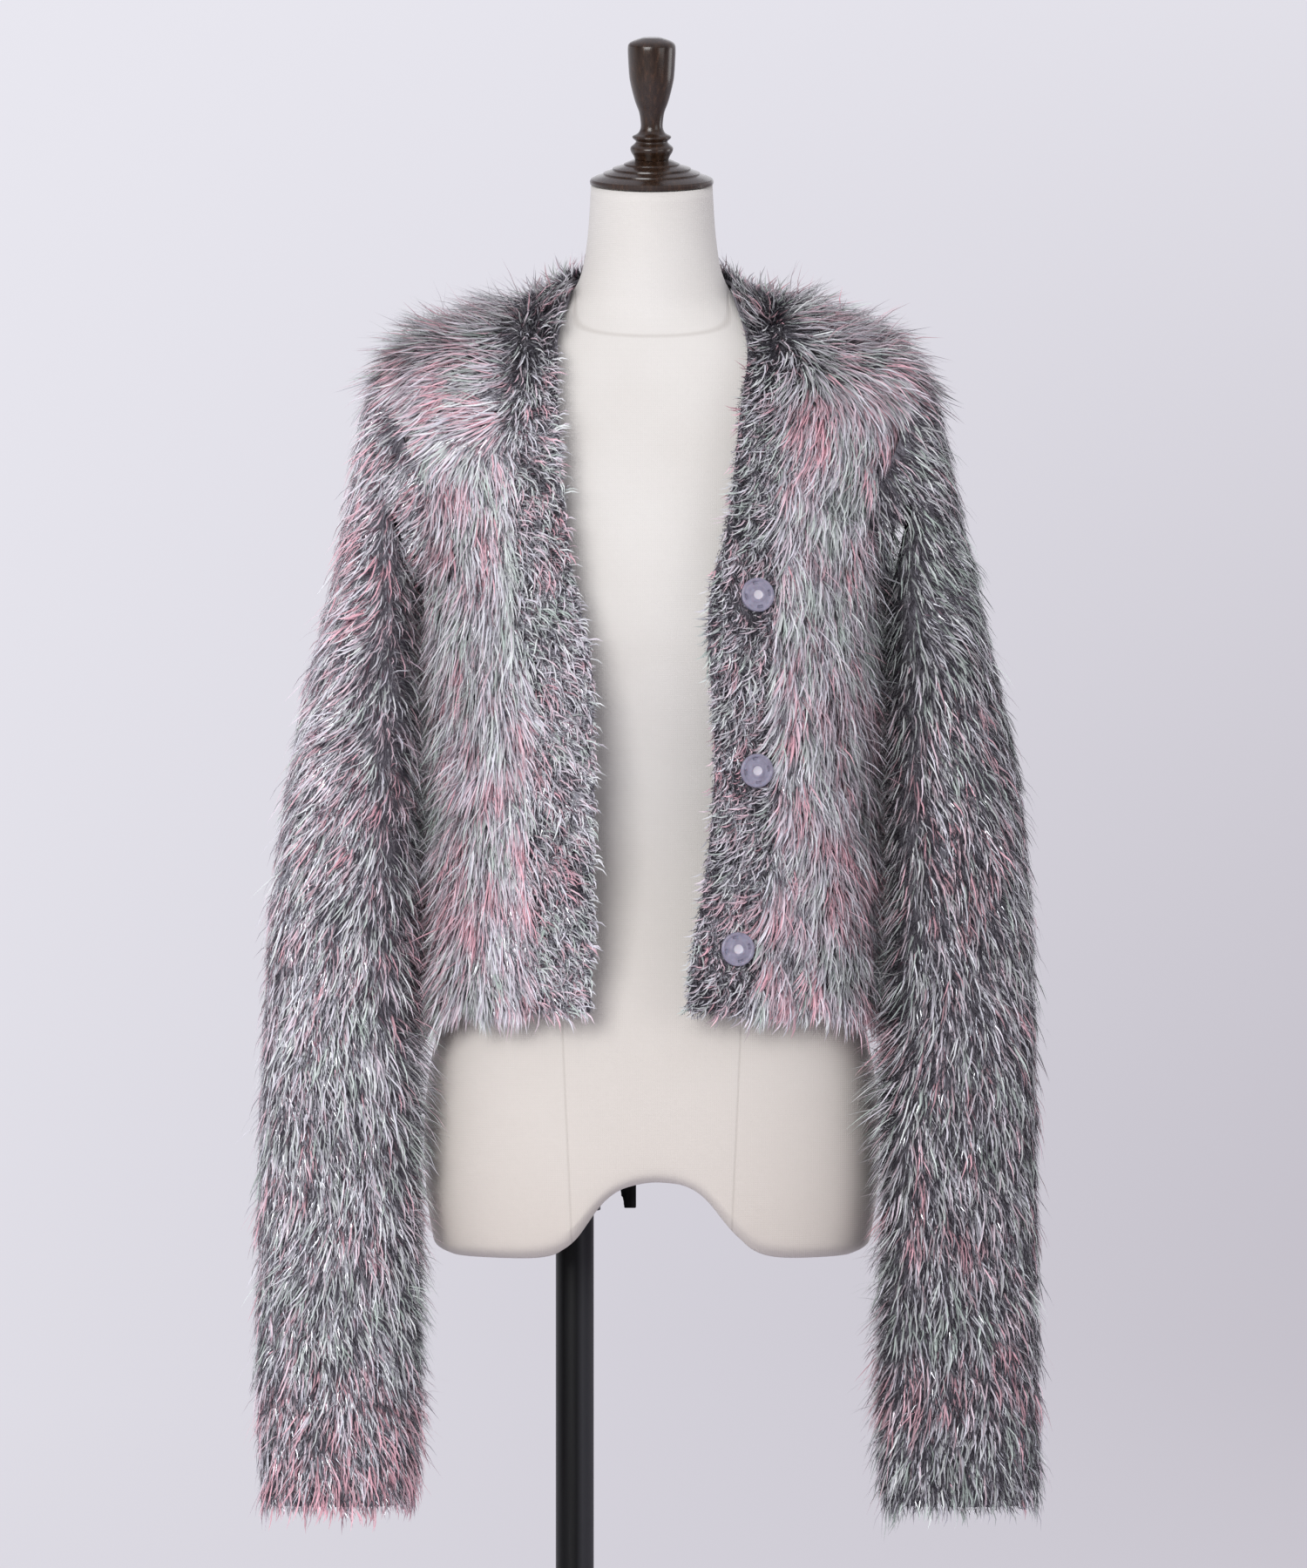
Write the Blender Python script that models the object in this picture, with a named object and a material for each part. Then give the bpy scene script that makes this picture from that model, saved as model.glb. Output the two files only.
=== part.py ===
# A furry cropped cardigan worn by a limbless dress form on a stand.
# Metres, +Z up, the garment's front faces -Y. The origin is on the floor under the form's centre.
# The wearer's right is at -X, which is the left of a front view.
import math

import bmesh
import bpy
import numpy as np
from mathutils import Matrix, Vector

for old in list(bpy.data.objects):
    bpy.data.objects.remove(old, do_unlink=True)

# Cloth. A wall is the knit and its lying pile together.
SEAM_GAP = 0.0003
PANEL_WALL = 0.010
BAND_WALL = 0.007
BAND_SET_BACK = 0.002
HEM_LEVEL = 0.862
CHEST_LEVEL = 1.160
NAPE_DROP = 0.006
NECK_EDGE_DROP = 0.004
CREASE_STRETCH = 0.02
SLEEVE_CREASE_START = 0.17
SLEEVE_HEAD_PUFF = 0.003

# Armhole, an upright oval on the body's surface
ARMHOLE_TOP = 1.3035
ARMHOLE_BOTTOM = 1.142
ARMHOLE_SWING = math.radians(27)
ARMHOLE_TURN_RADIUS = 0.070

# Fasteners
SNAP_RADIUS = 0.0115
SNAP_THICK = 0.0032
SNAP_HOLE_RADIUS = 0.0030
SNAP_RIM_ROUND = 0.0008
SNAP_DISH_RADIUS = 0.0069
SNAP_DISH_THICK = 0.0027
SNAP_RIM_THICK = 0.0022

# Dress form
FORM_RIM = 0.693
FORM_RIM_ROUND = 0.010
FORM_RIM_INSIDE = 0.003
FORM_SHELL = 0.014
FORM_CEILING = 0.766
BUST_LEVEL = 1.105
BUST_HALF_SPACING = 0.076
BUST_SWELL = 0.010
BUST_SPREAD = 0.042
NECK_TOP = 1.428
BOARD_THICK = 0.009
BOARD_CLEARANCE = 0.004

# Stand
POLE_X = -0.053
POLE_RADIUS = 0.0131
COLLAR_RADIUS = 0.0177
COLLAR_SPAN = (0.7218, 0.7266)
FLANGE_RADIUS = 0.030
FLANGE_THICK = 0.004
BASE_RADIUS = 0.170
BASE_THICK = 0.008
BASE_EDGE = 0.0015
HUB_RADIUS = 0.024
HUB_HEIGHT = 0.045
HUB_FOOT_RADIUS = 0.034
HUB_FOOT_EDGE = 0.012
HUB_FOOT_TOP = 0.018
BRACKET_HALF_DEPTH = 0.008
SCREW_RADIUS = 0.0018
SCREW_LEVEL = 0.7338
SCREW_TIP = 0.0254

# Facets. A grid is its columns and rows.
SIDE_ROWS = 14
ARMHOLE_ROWS = 12
BODY_ROWS = SIDE_ROWS + ARMHOLE_ROWS
UNDERARM_SHARE = SIDE_ROWS / BODY_ROWS
SHOULDER_COLUMNS = 8
NECK_COLUMNS = 10
FRONT_GRID = (SHOULDER_COLUMNS, BODY_ROWS)
BACK_GRID = (2 * SHOULDER_COLUMNS + NECK_COLUMNS, BODY_ROWS)
BAND_GRID = (3, BODY_ROWS)
TOP_PULL = 4
NECK_BAND_GRID = (NECK_COLUMNS, 3)
SLEEVE_RING = 2 * ARMHOLE_ROWS
SLEEVE_ROWS = 18
SLEEVE_HEAD_STEPS = (0.33, 0.67)
SLEEVE_LENGTHS = (("head", 0, 8), ("elbow", 8, 14), ("cuff", 14, 20))
BESIDE_ON_BODY = (0.01, 0.001)
BESIDE_ON_SLEEVE = (0.02, 0.004)
FORM_QUARTER = (0, 5, 10, 15, 20, 26, 33, 42, 54, 70)
FORM_RIM_STEPS = (0.0, 0.3, 0.65, 1.0)
FORM_LOW_STEPS = (0.5, 1.0)
FORM_HIP_LEVELS = (0.800, 0.830, 0.865, 0.900, 0.932, 0.965, 1.000)
FORM_CHEST_LEVELS = (1.035, 1.065, 1.090, 1.115, 1.140, 1.170, 1.205, 1.240, 1.270)
FORM_SHOULDER_LEVELS = (1.288, 1.2986, 1.306, 1.3130, 1.319, 1.3252, 1.330, 1.3350, 1.339, 1.3436)
FORM_NECK_LEVELS = (1.349, 1.355, 1.370, 1.400, NECK_TOP)
TURNED_RING = 20
SNAP_RING = 14

# Sections of the form. half is half the width, front and back are depths from the axis,
# power is 2 for an ellipse and more for a boxier ring, lean lifts a ring's back over its front.
FORM_COLUMNS = ("level", "half", "front", "back", "power", "lean")
FORM_SECTIONS = (
    (0.693, 0.1500, 0.092, 0.098, 2.5, 0.00),
    (0.715, 0.1565, 0.097, 0.105, 2.5, 0.00),
    (0.780, 0.1600, 0.100, 0.110, 2.4, 0.00),
    (0.840, 0.1520, 0.097, 0.104, 2.4, 0.00),
    (0.900, 0.1350, 0.088, 0.091, 2.3, 0.00),
    (0.965, 0.1170, 0.077, 0.078, 2.2, 0.00),
    (1.030, 0.1230, 0.085, 0.082, 2.2, 0.00),
    (1.080, 0.1320, 0.096, 0.088, 2.2, 0.00),
    (1.120, 0.1370, 0.100, 0.093, 2.2, 0.00),
    (1.160, 0.1410, 0.096, 0.096, 2.3, 0.00),
    (1.200, 0.1480, 0.087, 0.097, 2.4, 0.00),
    (1.240, 0.1570, 0.076, 0.095, 2.5, 0.00),
    (1.270, 0.1650, 0.067, 0.090, 2.5, 0.02),
    (1.2986, 0.1680, 0.0590, 0.083, 2.4, 0.06),
    (1.3130, 0.1530, 0.0545, 0.077, 2.3, 0.10),
    (1.3252, 0.1260, 0.0505, 0.071, 2.2, 0.14),
    (1.3350, 0.0970, 0.0465, 0.066, 2.1, 0.18),
    (1.3436, 0.0700, 0.0430, 0.060, 2.0, 0.20),
    (1.3550, 0.0540, 0.0410, 0.055, 2.0, 0.22),
    (1.370, 0.0475, 0.042, 0.049, 2.0, 0.22),
    (1.400, 0.0440, 0.044, 0.044, 2.0, 0.20),
    (NECK_TOP, 0.0427, 0.047, 0.040, 2.0, 0.20),
)

# The form's lower edge, seen from the front: two lobes with an arch between them
ARCH_COLUMNS = ("x", "level")
ARCH_EDGE = (
    (-0.200, 0.6930),
    (-0.088, 0.6930),
    (-0.062, 0.6980),
    (-0.049, 0.7086),
    (-0.041, 0.7236),
    (-0.030, 0.7362),
    (-0.013, 0.7445),
    (0.001, 0.7470),
    (0.019, 0.7446),
    (0.040, 0.7332),
    (0.052, 0.7146),
    (0.060, 0.7068),
    (0.076, 0.6965),
    (0.100, 0.6930),
    (0.200, 0.6930),
)

# Sections of the cardigan's body, out to the reach of its pile
BODY_SECTIONS = (
    (0.862, 0.1625, 0.125, 0.127, 2.2, 0.00),
    (0.900, 0.1600, 0.126, 0.123, 2.2, 0.00),
    (0.950, 0.1565, 0.127, 0.119, 2.3, 0.00),
    (1.000, 0.1540, 0.128, 0.116, 2.3, 0.00),
    (1.050, 0.1530, 0.130, 0.114, 2.4, 0.00),
    (1.100, 0.1530, 0.132, 0.114, 2.4, 0.00),
    (1.140, 0.1550, 0.130, 0.115, 2.4, 0.00),
    (1.180, 0.1610, 0.120, 0.116, 2.5, 0.00),
    (1.220, 0.1690, 0.108, 0.115, 2.6, 0.00),
    (1.260, 0.1775, 0.094, 0.111, 2.6, 0.00),
    (1.286, 0.1825, 0.084, 0.105, 2.5, 0.03),
    (1.304, 0.1815, 0.077, 0.099, 2.4, 0.06),
    (1.312, 0.1755, 0.074, 0.096, 2.4, 0.08),
    (1.322, 0.1640, 0.070, 0.092, 2.3, 0.10),
    (1.335, 0.1360, 0.065, 0.087, 2.2, 0.14),
    (1.3445, 0.1030, 0.060, 0.081, 2.1, 0.18),
    (1.353, 0.0760, 0.055, 0.076, 2.0, 0.20),
    (1.366, 0.0580, 0.050, 0.072, 2.0, 0.22),
)

# Front edges and band widths by height, with right and left as the wearer's
EDGE_COLUMNS = ("level", "right", "left", "width")
FRONT_EDGES = (
    (0.862, 0.0425, 0.0246, 0.046),
    (0.892, 0.0410, 0.0262, 0.046),
    (0.934, 0.0400, 0.0345, 0.046),
    (0.985, 0.0408, 0.0410, 0.046),
    (1.027, 0.0396, 0.0438, 0.046),
    (1.068, 0.0398, 0.0420, 0.046),
    (1.099, 0.0420, 0.0395, 0.046),
    (1.125, 0.0475, 0.0385, 0.046),
    (1.150, 0.0535, 0.0400, 0.046),
    (1.170, 0.0560, 0.0480, 0.042),
    (1.195, 0.0590, 0.0530, 0.038),
    (1.219, 0.0610, 0.0555, 0.035),
    (1.255, 0.0635, 0.0590, 0.033),
    (1.285, 0.0650, 0.0620, 0.031),
    (1.315, 0.0655, 0.0665, 0.029),
    (1.333, 0.0650, 0.0655, 0.027),
    (1.348, 0.0625, 0.0625, 0.025),
    (1.366, 0.0595, 0.0595, 0.024),
)

# Soft ridges (+) and troughs (-) of the body, placed by hand. across and along are their spreads.
CREASE_COLUMNS = ("phi", "level", "across", "along", "depth", "slant")
BODY_CREASES = (
    (128, 1.200, 9, 0.060, -0.0040, 60),
    (113, 1.090, 8, 0.070, -0.0045, 50),
    (95, 0.960, 7, 0.080, 0.0030, 20),
    (160, 0.930, 10, 0.090, -0.0040, -12),
    (178, 1.050, 9, 0.110, -0.0030, 6),
    (143, 0.900, 8, 0.070, 0.0035, 10),
    (62, 1.010, 8, 0.080, -0.0030, -40),
    (48, 0.905, 8, 0.060, 0.0025, 0),
    (-124, 1.190, 9, 0.055, -0.0045, -60),
    (-110, 1.070, 8, 0.080, -0.0040, -45),
    (-96, 0.940, 7, 0.070, 0.0030, -15),
    (-155, 0.950, 10, 0.080, 0.0030, 10),
    (-140, 0.910, 8, 0.070, -0.0040, 0),
    (-60, 1.030, 8, 0.070, -0.0035, 40),
    (-76, 0.890, 7, 0.050, -0.0030, 0),
)

# Sleeve sections as a front view shows them: the outer and inner silhouette points,
# then half the depth, the middle's y and the ring's power. Each is written for the +X side.
SLEEVE_COLUMNS = ("outer_x", "outer_z", "inner_x", "inner_z", "depth", "y", "power")
SLEEVE_RIGHT = (
    (0.1955, 1.2900, 0.1575, 1.1400, 0.0560, 0.002, 2.1),
    (0.2040, 1.2480, 0.1590, 1.1290, 0.0640, 0.001, 2.2),
    (0.2130, 1.1920, 0.1595, 1.1090, 0.0670, -0.002, 2.2),
    (0.2250, 1.1350, 0.1595, 1.0830, 0.0665, -0.008, 2.3),
    (0.2410, 1.0720, 0.1595, 1.0400, 0.0640, -0.018, 2.3),
    (0.2540, 1.0020, 0.1600, 0.9850, 0.0590, -0.032, 2.3),
    (0.2635, 0.9200, 0.1610, 0.9130, 0.0530, -0.047, 2.2),
    (0.2680, 0.8400, 0.1600, 0.8380, 0.0480, -0.056, 2.3),
    (0.2695, 0.7600, 0.1570, 0.7600, 0.0455, -0.055, 2.4),
    (0.2700, 0.6800, 0.1560, 0.6800, 0.0440, -0.056, 2.4),
    (0.2705, 0.6000, 0.1565, 0.6000, 0.0430, -0.056, 2.4),
    (0.2690, 0.5260, 0.1585, 0.5260, 0.0420, -0.055, 2.4),
)
SLEEVE_LEFT = (
    (0.1950, 1.2890, 0.1575, 1.1400, 0.0560, 0.002, 2.1),
    (0.2050, 1.2460, 0.1590, 1.1290, 0.0635, 0.001, 2.2),
    (0.2170, 1.1930, 0.1595, 1.1090, 0.0665, -0.001, 2.2),
    (0.2290, 1.1350, 0.1595, 1.0830, 0.0665, -0.006, 2.3),
    (0.2430, 1.0740, 0.1595, 1.0400, 0.0645, -0.015, 2.3),
    (0.2560, 1.0020, 0.1605, 0.9850, 0.0595, -0.029, 2.3),
    (0.2615, 0.9200, 0.1615, 0.9130, 0.0530, -0.047, 2.2),
    (0.2630, 0.8400, 0.1600, 0.8380, 0.0485, -0.056, 2.3),
    (0.2645, 0.7600, 0.1565, 0.7600, 0.0460, -0.055, 2.4),
    (0.2655, 0.6800, 0.1555, 0.6800, 0.0445, -0.057, 2.4),
    (0.2670, 0.6000, 0.1525, 0.6000, 0.0440, -0.057, 2.4),
    (0.2660, 0.5260, 0.1545, 0.5260, 0.0425, -0.056, 2.4),
)

# Soft ridges and troughs of a sleeve. turn goes from the outer side (0) over the front (90).
SLEEVE_CREASE_COLUMNS = ("turn", "step", "across", "along", "depth", "slant")
SLEEVE_CREASES_RIGHT = (
    (60, 0.16, 22, 0.05, -0.0035, 80),
    (115, 0.30, 20, 0.06, -0.0040, -60),
    (250, 0.25, 22, 0.05, -0.0040, 60),
    (80, 0.52, 24, 0.05, 0.0030, 40),
    (20, 0.62, 22, 0.06, -0.0030, -30),
    (290, 0.58, 24, 0.05, -0.0035, 50),
    (130, 0.78, 20, 0.08, -0.0030, 0),
    (320, 0.86, 22, 0.07, 0.0030, 0),
)
SLEEVE_CREASES_LEFT = (
    (70, 0.19, 22, 0.05, -0.0040, 70),
    (125, 0.27, 20, 0.06, -0.0035, -50),
    (240, 0.22, 22, 0.06, -0.0040, 70),
    (95, 0.48, 24, 0.05, -0.0030, 50),
    (30, 0.57, 22, 0.05, 0.0030, -40),
    (280, 0.66, 24, 0.06, -0.0035, 30),
    (110, 0.83, 20, 0.08, 0.0030, 0),
    (335, 0.80, 22, 0.07, -0.0030, 0),
)

# Fastener halves by height: how far each lies from the front edge on both bands,
# and how far the half on the inside stands off the band, which curves under it
SNAP_COLUMNS = ("level", "from_edge", "inside_lift")
SNAPS = (
    (1.1424, 0.0320, 0.0015),
    (1.0242, 0.0270, 0.0009),
    (0.9042, 0.0300, 0.0009),
)

# The bracket under the board, as x and level. Its top ends at the board's underside.
BRACKET_OUTLINE = (
    (-0.0227, 0.7660),
    (-0.0227, 0.7434),
    (-0.0210, 0.7434),
    (-0.0210, 0.7320),
    (-0.0190, 0.7300),
    (-0.0190, 0.7236),
    (-0.0108, 0.7236),
    (-0.0108, 0.7660),
)

# Turned profiles, from the bottom up, as radius and height over the neck's top
CAP_PROFILE = (
    (0.0404, 0.0000),
    (0.0426, 0.0012),
    (0.0426, 0.0040),
    (0.0405, 0.0062),
    (0.0370, 0.0072),
    (0.0362, 0.0096),
    (0.0315, 0.0108),
    (0.0305, 0.0130),
    (0.0210, 0.0155),
    (0.0125, 0.0175),
)
FINIAL_PROFILE = (
    (0.0117, 0.0178),
    (0.0120, 0.0200),
    (0.0144, 0.0225),
    (0.0144, 0.0248),
    (0.0114, 0.0272),
    (0.0110, 0.0300),
    (0.0129, 0.0318),
    (0.0129, 0.0338),
    (0.0100, 0.0362),
    (0.0081, 0.0426),
    (0.0082, 0.0498),
    (0.0096, 0.0590),
    (0.0119, 0.0680),
    (0.0141, 0.0770),
    (0.0158, 0.0858),
    (0.0165, 0.0925),
    (0.0156, 0.0978),
    (0.0118, 0.1008),
    (0.0060, 0.1019),
)


def smooth_table(columns, rows):
    """A function of the first column that gives the others by name, as a smooth curve with no overshoot."""
    data = np.array(rows, float)
    key, values = data[:, 0], data[:, 1:]
    step = np.diff(key)[:, None]
    slope = np.diff(values, axis=0) / step
    tangent = np.zeros_like(values)
    rising = slope[:-1] * slope[1:] > 0
    near, far = 2 * step[1:] + step[:-1], step[1:] + 2 * step[:-1]
    safe = [np.where(rising, part, 1.0) for part in (slope[:-1], slope[1:])]
    tangent[1:-1] = np.where(rising, (near + far) / (near / safe[0] + far / safe[1]), 0.0)
    tangent[0], tangent[-1] = slope[0], slope[-1]

    def at(where):
        where = min(max(where, key[0]), key[-1])
        i = min(int(np.searchsorted(key, where, side="right")) - 1, len(key) - 2)
        span = key[i + 1] - key[i]
        t = (where - key[i]) / span
        start, end = values[i], values[i + 1]
        curve = (2 * t**3 - 3 * t**2 + 1) * start + (3 * t**2 - 2 * t**3) * end
        curve = curve + span * ((t**3 - 2 * t**2 + t) * tangent[i] + (t**3 - t**2) * tangent[i + 1])
        return dict(zip(columns[1:], curve))

    return at


form_row = smooth_table(FORM_COLUMNS, FORM_SECTIONS)
body_row = smooth_table(FORM_COLUMNS, BODY_SECTIONS)
edge_row = smooth_table(EDGE_COLUMNS, FRONT_EDGES)
arch_row = smooth_table(ARCH_COLUMNS, ARCH_EDGE)


def ring_point(row, phi, level, inset=0.0):
    """A point of a ring: phi is 0 at the front, a quarter turn at +X and half a turn at the back."""
    side, fore = math.sin(phi), math.cos(phi)
    depth = row["front"] if fore > 0 else row["back"]
    power = 2 / row["power"]
    x = (row["half"] - inset) * math.copysign(abs(side) ** power, side)
    y = -(depth - inset) * math.copysign(abs(fore) ** power, fore)
    return Vector((x, y, level + row["lean"] * y))


def soft_rise(creases, columns, first, second):
    """The height of the ridges and troughs at a place of a surface. The first value is in degrees."""
    rise = 0.0
    for values in creases:
        crease = dict(zip(columns, values))
        aside = (first - crease[columns[0]] + 180) % 360 - 180
        along = second - crease[columns[1]]
        aside = aside - math.tan(math.radians(crease["slant"])) * along / CREASE_STRETCH
        far = (aside / crease["across"]) ** 2 + (along / crease["along"]) ** 2
        rise += crease["depth"] * math.exp(-far)
    return rise


def body_base(phi, level):
    """A point of the cardigan's outer surface, with its creases."""
    point = ring_point(body_row(level), phi, level)
    degrees = math.degrees(phi)
    rise = soft_rise(BODY_CREASES, CREASE_COLUMNS, degrees, level)
    return point + rise * Vector((math.sin(phi), -math.cos(phi), 0))


def normal_of(surface, first, second, small):
    """The outward normal of a surface, from its points just beside."""
    across = surface(first + small[0], second) - surface(first - small[0], second)
    up = surface(first, second + small[1]) - surface(first, second - small[1])
    return across.cross(up).normalized()


def body_point(phi, level, out=0.0):
    """A point of the cardigan's body, moved out along the surface's normal."""
    base = body_base(phi, level)
    return base + out * normal_of(body_base, phi, level, BESIDE_ON_BODY)


def phi_at_x(x, level):
    """The angle on the front where the cardigan's ring has this x."""
    row = body_row(level)
    share = min(abs(x) / row["half"], 1.0)
    return math.copysign(math.asin(share ** (row["power"] / 2)), x)


def phi_beside_seam(level, gap):
    """How far the angle turns from the side for the ring to move by this gap in y."""
    row = body_row(level)
    return math.asin((gap / row["front"]) ** (row["power"] / 2))


def shoulder_level(reach):
    """The level where the shoulder's ridge is this far from the centre, given as a function of the level."""
    low, high = ARMHOLE_TOP, BODY_SECTIONS[-1][0]
    for _ in range(40):
        middle = (low + high) / 2
        if body_row(middle)["half"] > reach(middle):
            low = middle
        else:
            high = middle
    return low


def armhole(turn, spread):
    """(phi, level) round the armhole: turn is 0 at the top and a quarter at the front."""
    middle, half = (ARMHOLE_TOP + ARMHOLE_BOTTOM) / 2, (ARMHOLE_TOP - ARMHOLE_BOTTOM) / 2
    swing = ARMHOLE_SWING + spread / ARMHOLE_TURN_RADIUS
    phi = math.pi / 2 - swing * math.sin(turn)
    return phi, middle + (half + spread) * math.cos(turn)


def blend_patch(bottom, top, left, right, columns, rows):
    """A grid of (phi, level) inside four edges, each a function from 0 to 1."""
    corners = [np.array(point) for point in (bottom(0), bottom(1), top(0), top(1))]
    grid = []
    for j in range(rows + 1):
        v = j / rows
        rise = v**TOP_PULL
        line = []
        for i in range(columns + 1):
            u = i / columns
            along = (1 - rise) * np.array(bottom(u)) + rise * np.array(top(u))
            across = (1 - u) * np.array(left(v)) + u * np.array(right(v))
            both = (1 - u) * (1 - rise) * corners[0] + u * (1 - rise) * corners[1]
            both = both + (1 - u) * rise * corners[2] + u * rise * corners[3]
            line.append(along + across - both)
        grid.append(line)
    return grid


def material_of(name, hex_colour, roughness, metallic):
    """A plain finish from an sRGB hex colour."""
    found = bpy.data.materials.get(name)
    if found:
        return found
    shades = [int(hex_colour[i : i + 2], 16) / 255 for i in (1, 3, 5)]
    linear = [c / 12.92 if c <= 0.04045 else ((c + 0.055) / 1.055) ** 2.4 for c in shades]
    made = bpy.data.materials.new(name)
    made.use_nodes = True
    shader = made.node_tree.nodes["Principled BSDF"]
    shader.inputs["Base Color"].default_value = (*linear, 1)
    shader.inputs["Roughness"].default_value = roughness
    shader.inputs["Metallic"].default_value = metallic
    return made


def finished(name, bm, finish, sharp=40):
    """Makes the object, with its faces outwards and its round sides smooth."""
    bmesh.ops.recalc_face_normals(bm, faces=bm.faces)
    mesh = bpy.data.meshes.new(name)
    bm.to_mesh(mesh)
    bm.free()
    mesh.shade_smooth()
    mesh.set_sharp_from_angle(angle=math.radians(sharp))
    mesh.materials.append(material_of(*finish))
    obj = bpy.data.objects.new(name, mesh)
    bpy.context.scene.collection.objects.link(obj)
    return obj


def wall_mesh(outer, inner, round_ring=False):
    """A closed wall between two grids of points. A round ring's last column meets its first."""
    bm = bmesh.new()
    rows, columns = len(outer), len(outer[0])
    sheets = [[[bm.verts.new(point) for point in line] for line in grid] for grid in (outer, inner)]
    last = columns if round_ring else columns - 1
    for j in range(rows - 1):
        for i in range(last):
            k = (i + 1) % columns
            for sheet in sheets:
                bm.faces.new((sheet[j][i], sheet[j][k], sheet[j + 1][k], sheet[j + 1][i]))
    for j in (0, rows - 1):
        for i in range(last):
            k = (i + 1) % columns
            bm.faces.new((sheets[0][j][i], sheets[0][j][k], sheets[1][j][k], sheets[1][j][i]))
    if not round_ring:
        for i in (0, columns - 1):
            for j in range(rows - 1):
                ends = (sheets[0][j][i], sheets[0][j + 1][i], sheets[1][j + 1][i], sheets[1][j][i])
                bm.faces.new(ends)
    bmesh.ops.triangulate(bm, faces=bm.faces)
    return bm


def cloth_panel(name, grid, wall, set_back, finish):
    """A panel of the body: the wall under a grid of (phi, level)."""
    outer = [[body_point(phi, level, -set_back) for phi, level in line] for line in grid]
    inner = [[body_point(phi, level, -set_back - wall) for phi, level in line] for line in grid]
    return finished(name, wall_mesh(outer, inner), finish)


def seam_reach(side, from_edge=0.0, extra=0.0):
    """A function of the level: how far a front edge, or a line beside it, lies from the centre."""
    key = "left" if side > 0 else "right"
    return lambda level: edge_row(level)[key] + from_edge * edge_row(level)["width"] + extra


def climb(v, top):
    """The level up a front, from the hem to the shoulder, with shorter steps where it turns over."""
    if v <= UNDERARM_SHARE:
        return HEM_LEVEL + v / UNDERARM_SHARE * (CHEST_LEVEL - HEM_LEVEL)
    share = (v - UNDERARM_SHARE) / (1 - UNDERARM_SHARE)
    return CHEST_LEVEL + (top - CHEST_LEVEL) * math.sin(share * math.pi / 2)


def front_line(reach, top):
    """The line up a front at this distance from the centre, as a function from 0 at the hem to 1."""

    def at(v):
        level = climb(v, top)
        beside = math.pi / 2 - phi_beside_seam(level, SEAM_GAP / 2)
        if v == 1:
            return beside, level
        return min(phi_at_x(reach(level), level), beside), level

    return at


def side_line(v, spread):
    """The line up the side seam and then round the front of the armhole."""
    if v < UNDERARM_SHARE:
        level = HEM_LEVEL + v / UNDERARM_SHARE * (ARMHOLE_BOTTOM - spread - HEM_LEVEL)
        return math.pi / 2, level
    return armhole(math.pi * (1 - v) / (1 - UNDERARM_SHARE), spread)


def front_panel(name, side, finish):
    """One front, from the band's seam to the side seam, armhole and shoulder."""
    half_gap = SEAM_GAP / 2
    reach = seam_reach(side, 1.0, half_gap)
    ridge = shoulder_level(reach)
    at_side = math.pi / 2
    seam = front_line(reach, ridge)

    def outer_edge(v):
        phi, level = side_line(v, half_gap)
        return min(phi, at_side - phi_beside_seam(level, half_gap)), level

    def hem(u):
        start, end = seam(0)[0], outer_edge(0)[0]
        return start + u * (end - start), HEM_LEVEL

    def shoulder(u):
        level = seam(1)[1] + u * (outer_edge(1)[1] - seam(1)[1])
        return at_side - phi_beside_seam(level, half_gap), level

    grid = blend_patch(hem, shoulder, seam, outer_edge, *FRONT_GRID)
    grid = [[(side * phi, level) for phi, level in line] for line in grid]
    return cloth_panel(name, grid, PANEL_WALL, 0.0, finish)


def back_panel(name, finish):
    """The back, from side seam to side seam, up to the shoulders and the neck band."""
    half_gap = SEAM_GAP / 2
    ridge = shoulder_level(seam_reach(1, 1.0, half_gap))
    nape = ridge - NAPE_DROP
    shoulder_share = SHOULDER_COLUMNS / BACK_GRID[0]

    def side_edge(v):
        phi, level = side_line(v, half_gap)
        return max(math.pi - phi, math.pi / 2 + phi_beside_seam(level, half_gap)), level

    def other_edge(v):
        phi, level = side_edge(v)
        return 2 * math.pi - phi, level

    def hem(u):
        start = side_edge(0)[0]
        return start + u * (2 * math.pi - 2 * start), HEM_LEVEL

    def top(u):
        mirrored = u > 0.5
        near = 1 - u if mirrored else u
        low = side_edge(1)[1]
        if near < shoulder_share:
            level = low + near / shoulder_share * (ridge - low)
            phi = math.pi / 2 + phi_beside_seam(level, half_gap)
        else:
            share = (near - shoulder_share) / (0.5 - shoulder_share)
            level = ridge + (nape - ridge) * math.sin(share * math.pi / 2)
            start = math.pi / 2 + phi_beside_seam(level, half_gap)
            phi = start + share * (math.pi - start)
        return (2 * math.pi - phi if mirrored else phi), level

    grid = blend_patch(hem, top, side_edge, other_edge, *BACK_GRID)
    return cloth_panel(name, grid, PANEL_WALL, 0.0, finish)


def front_band(name, side, finish):
    """The short-pile band of one front edge, from the hem to the shoulder."""
    half_gap = SEAM_GAP / 2
    edge, seam = seam_reach(side), seam_reach(side, 1.0, -half_gap)
    edge_top, seam_top = shoulder_level(edge), shoulder_level(seam)
    front, back = front_line(edge, edge_top), front_line(seam, seam_top)

    def hem(u):
        return front(0)[0] + u * (back(0)[0] - front(0)[0]), HEM_LEVEL

    def shoulder(u):
        level = edge_top + u * (seam_top - edge_top)
        return math.pi / 2 - phi_beside_seam(level, half_gap), level

    grid = blend_patch(hem, shoulder, front, back, *BAND_GRID)
    grid = [[(side * phi, level) for phi, level in line] for line in grid]
    return cloth_panel(name, grid, BAND_WALL, BAND_SET_BACK, finish)


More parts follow.
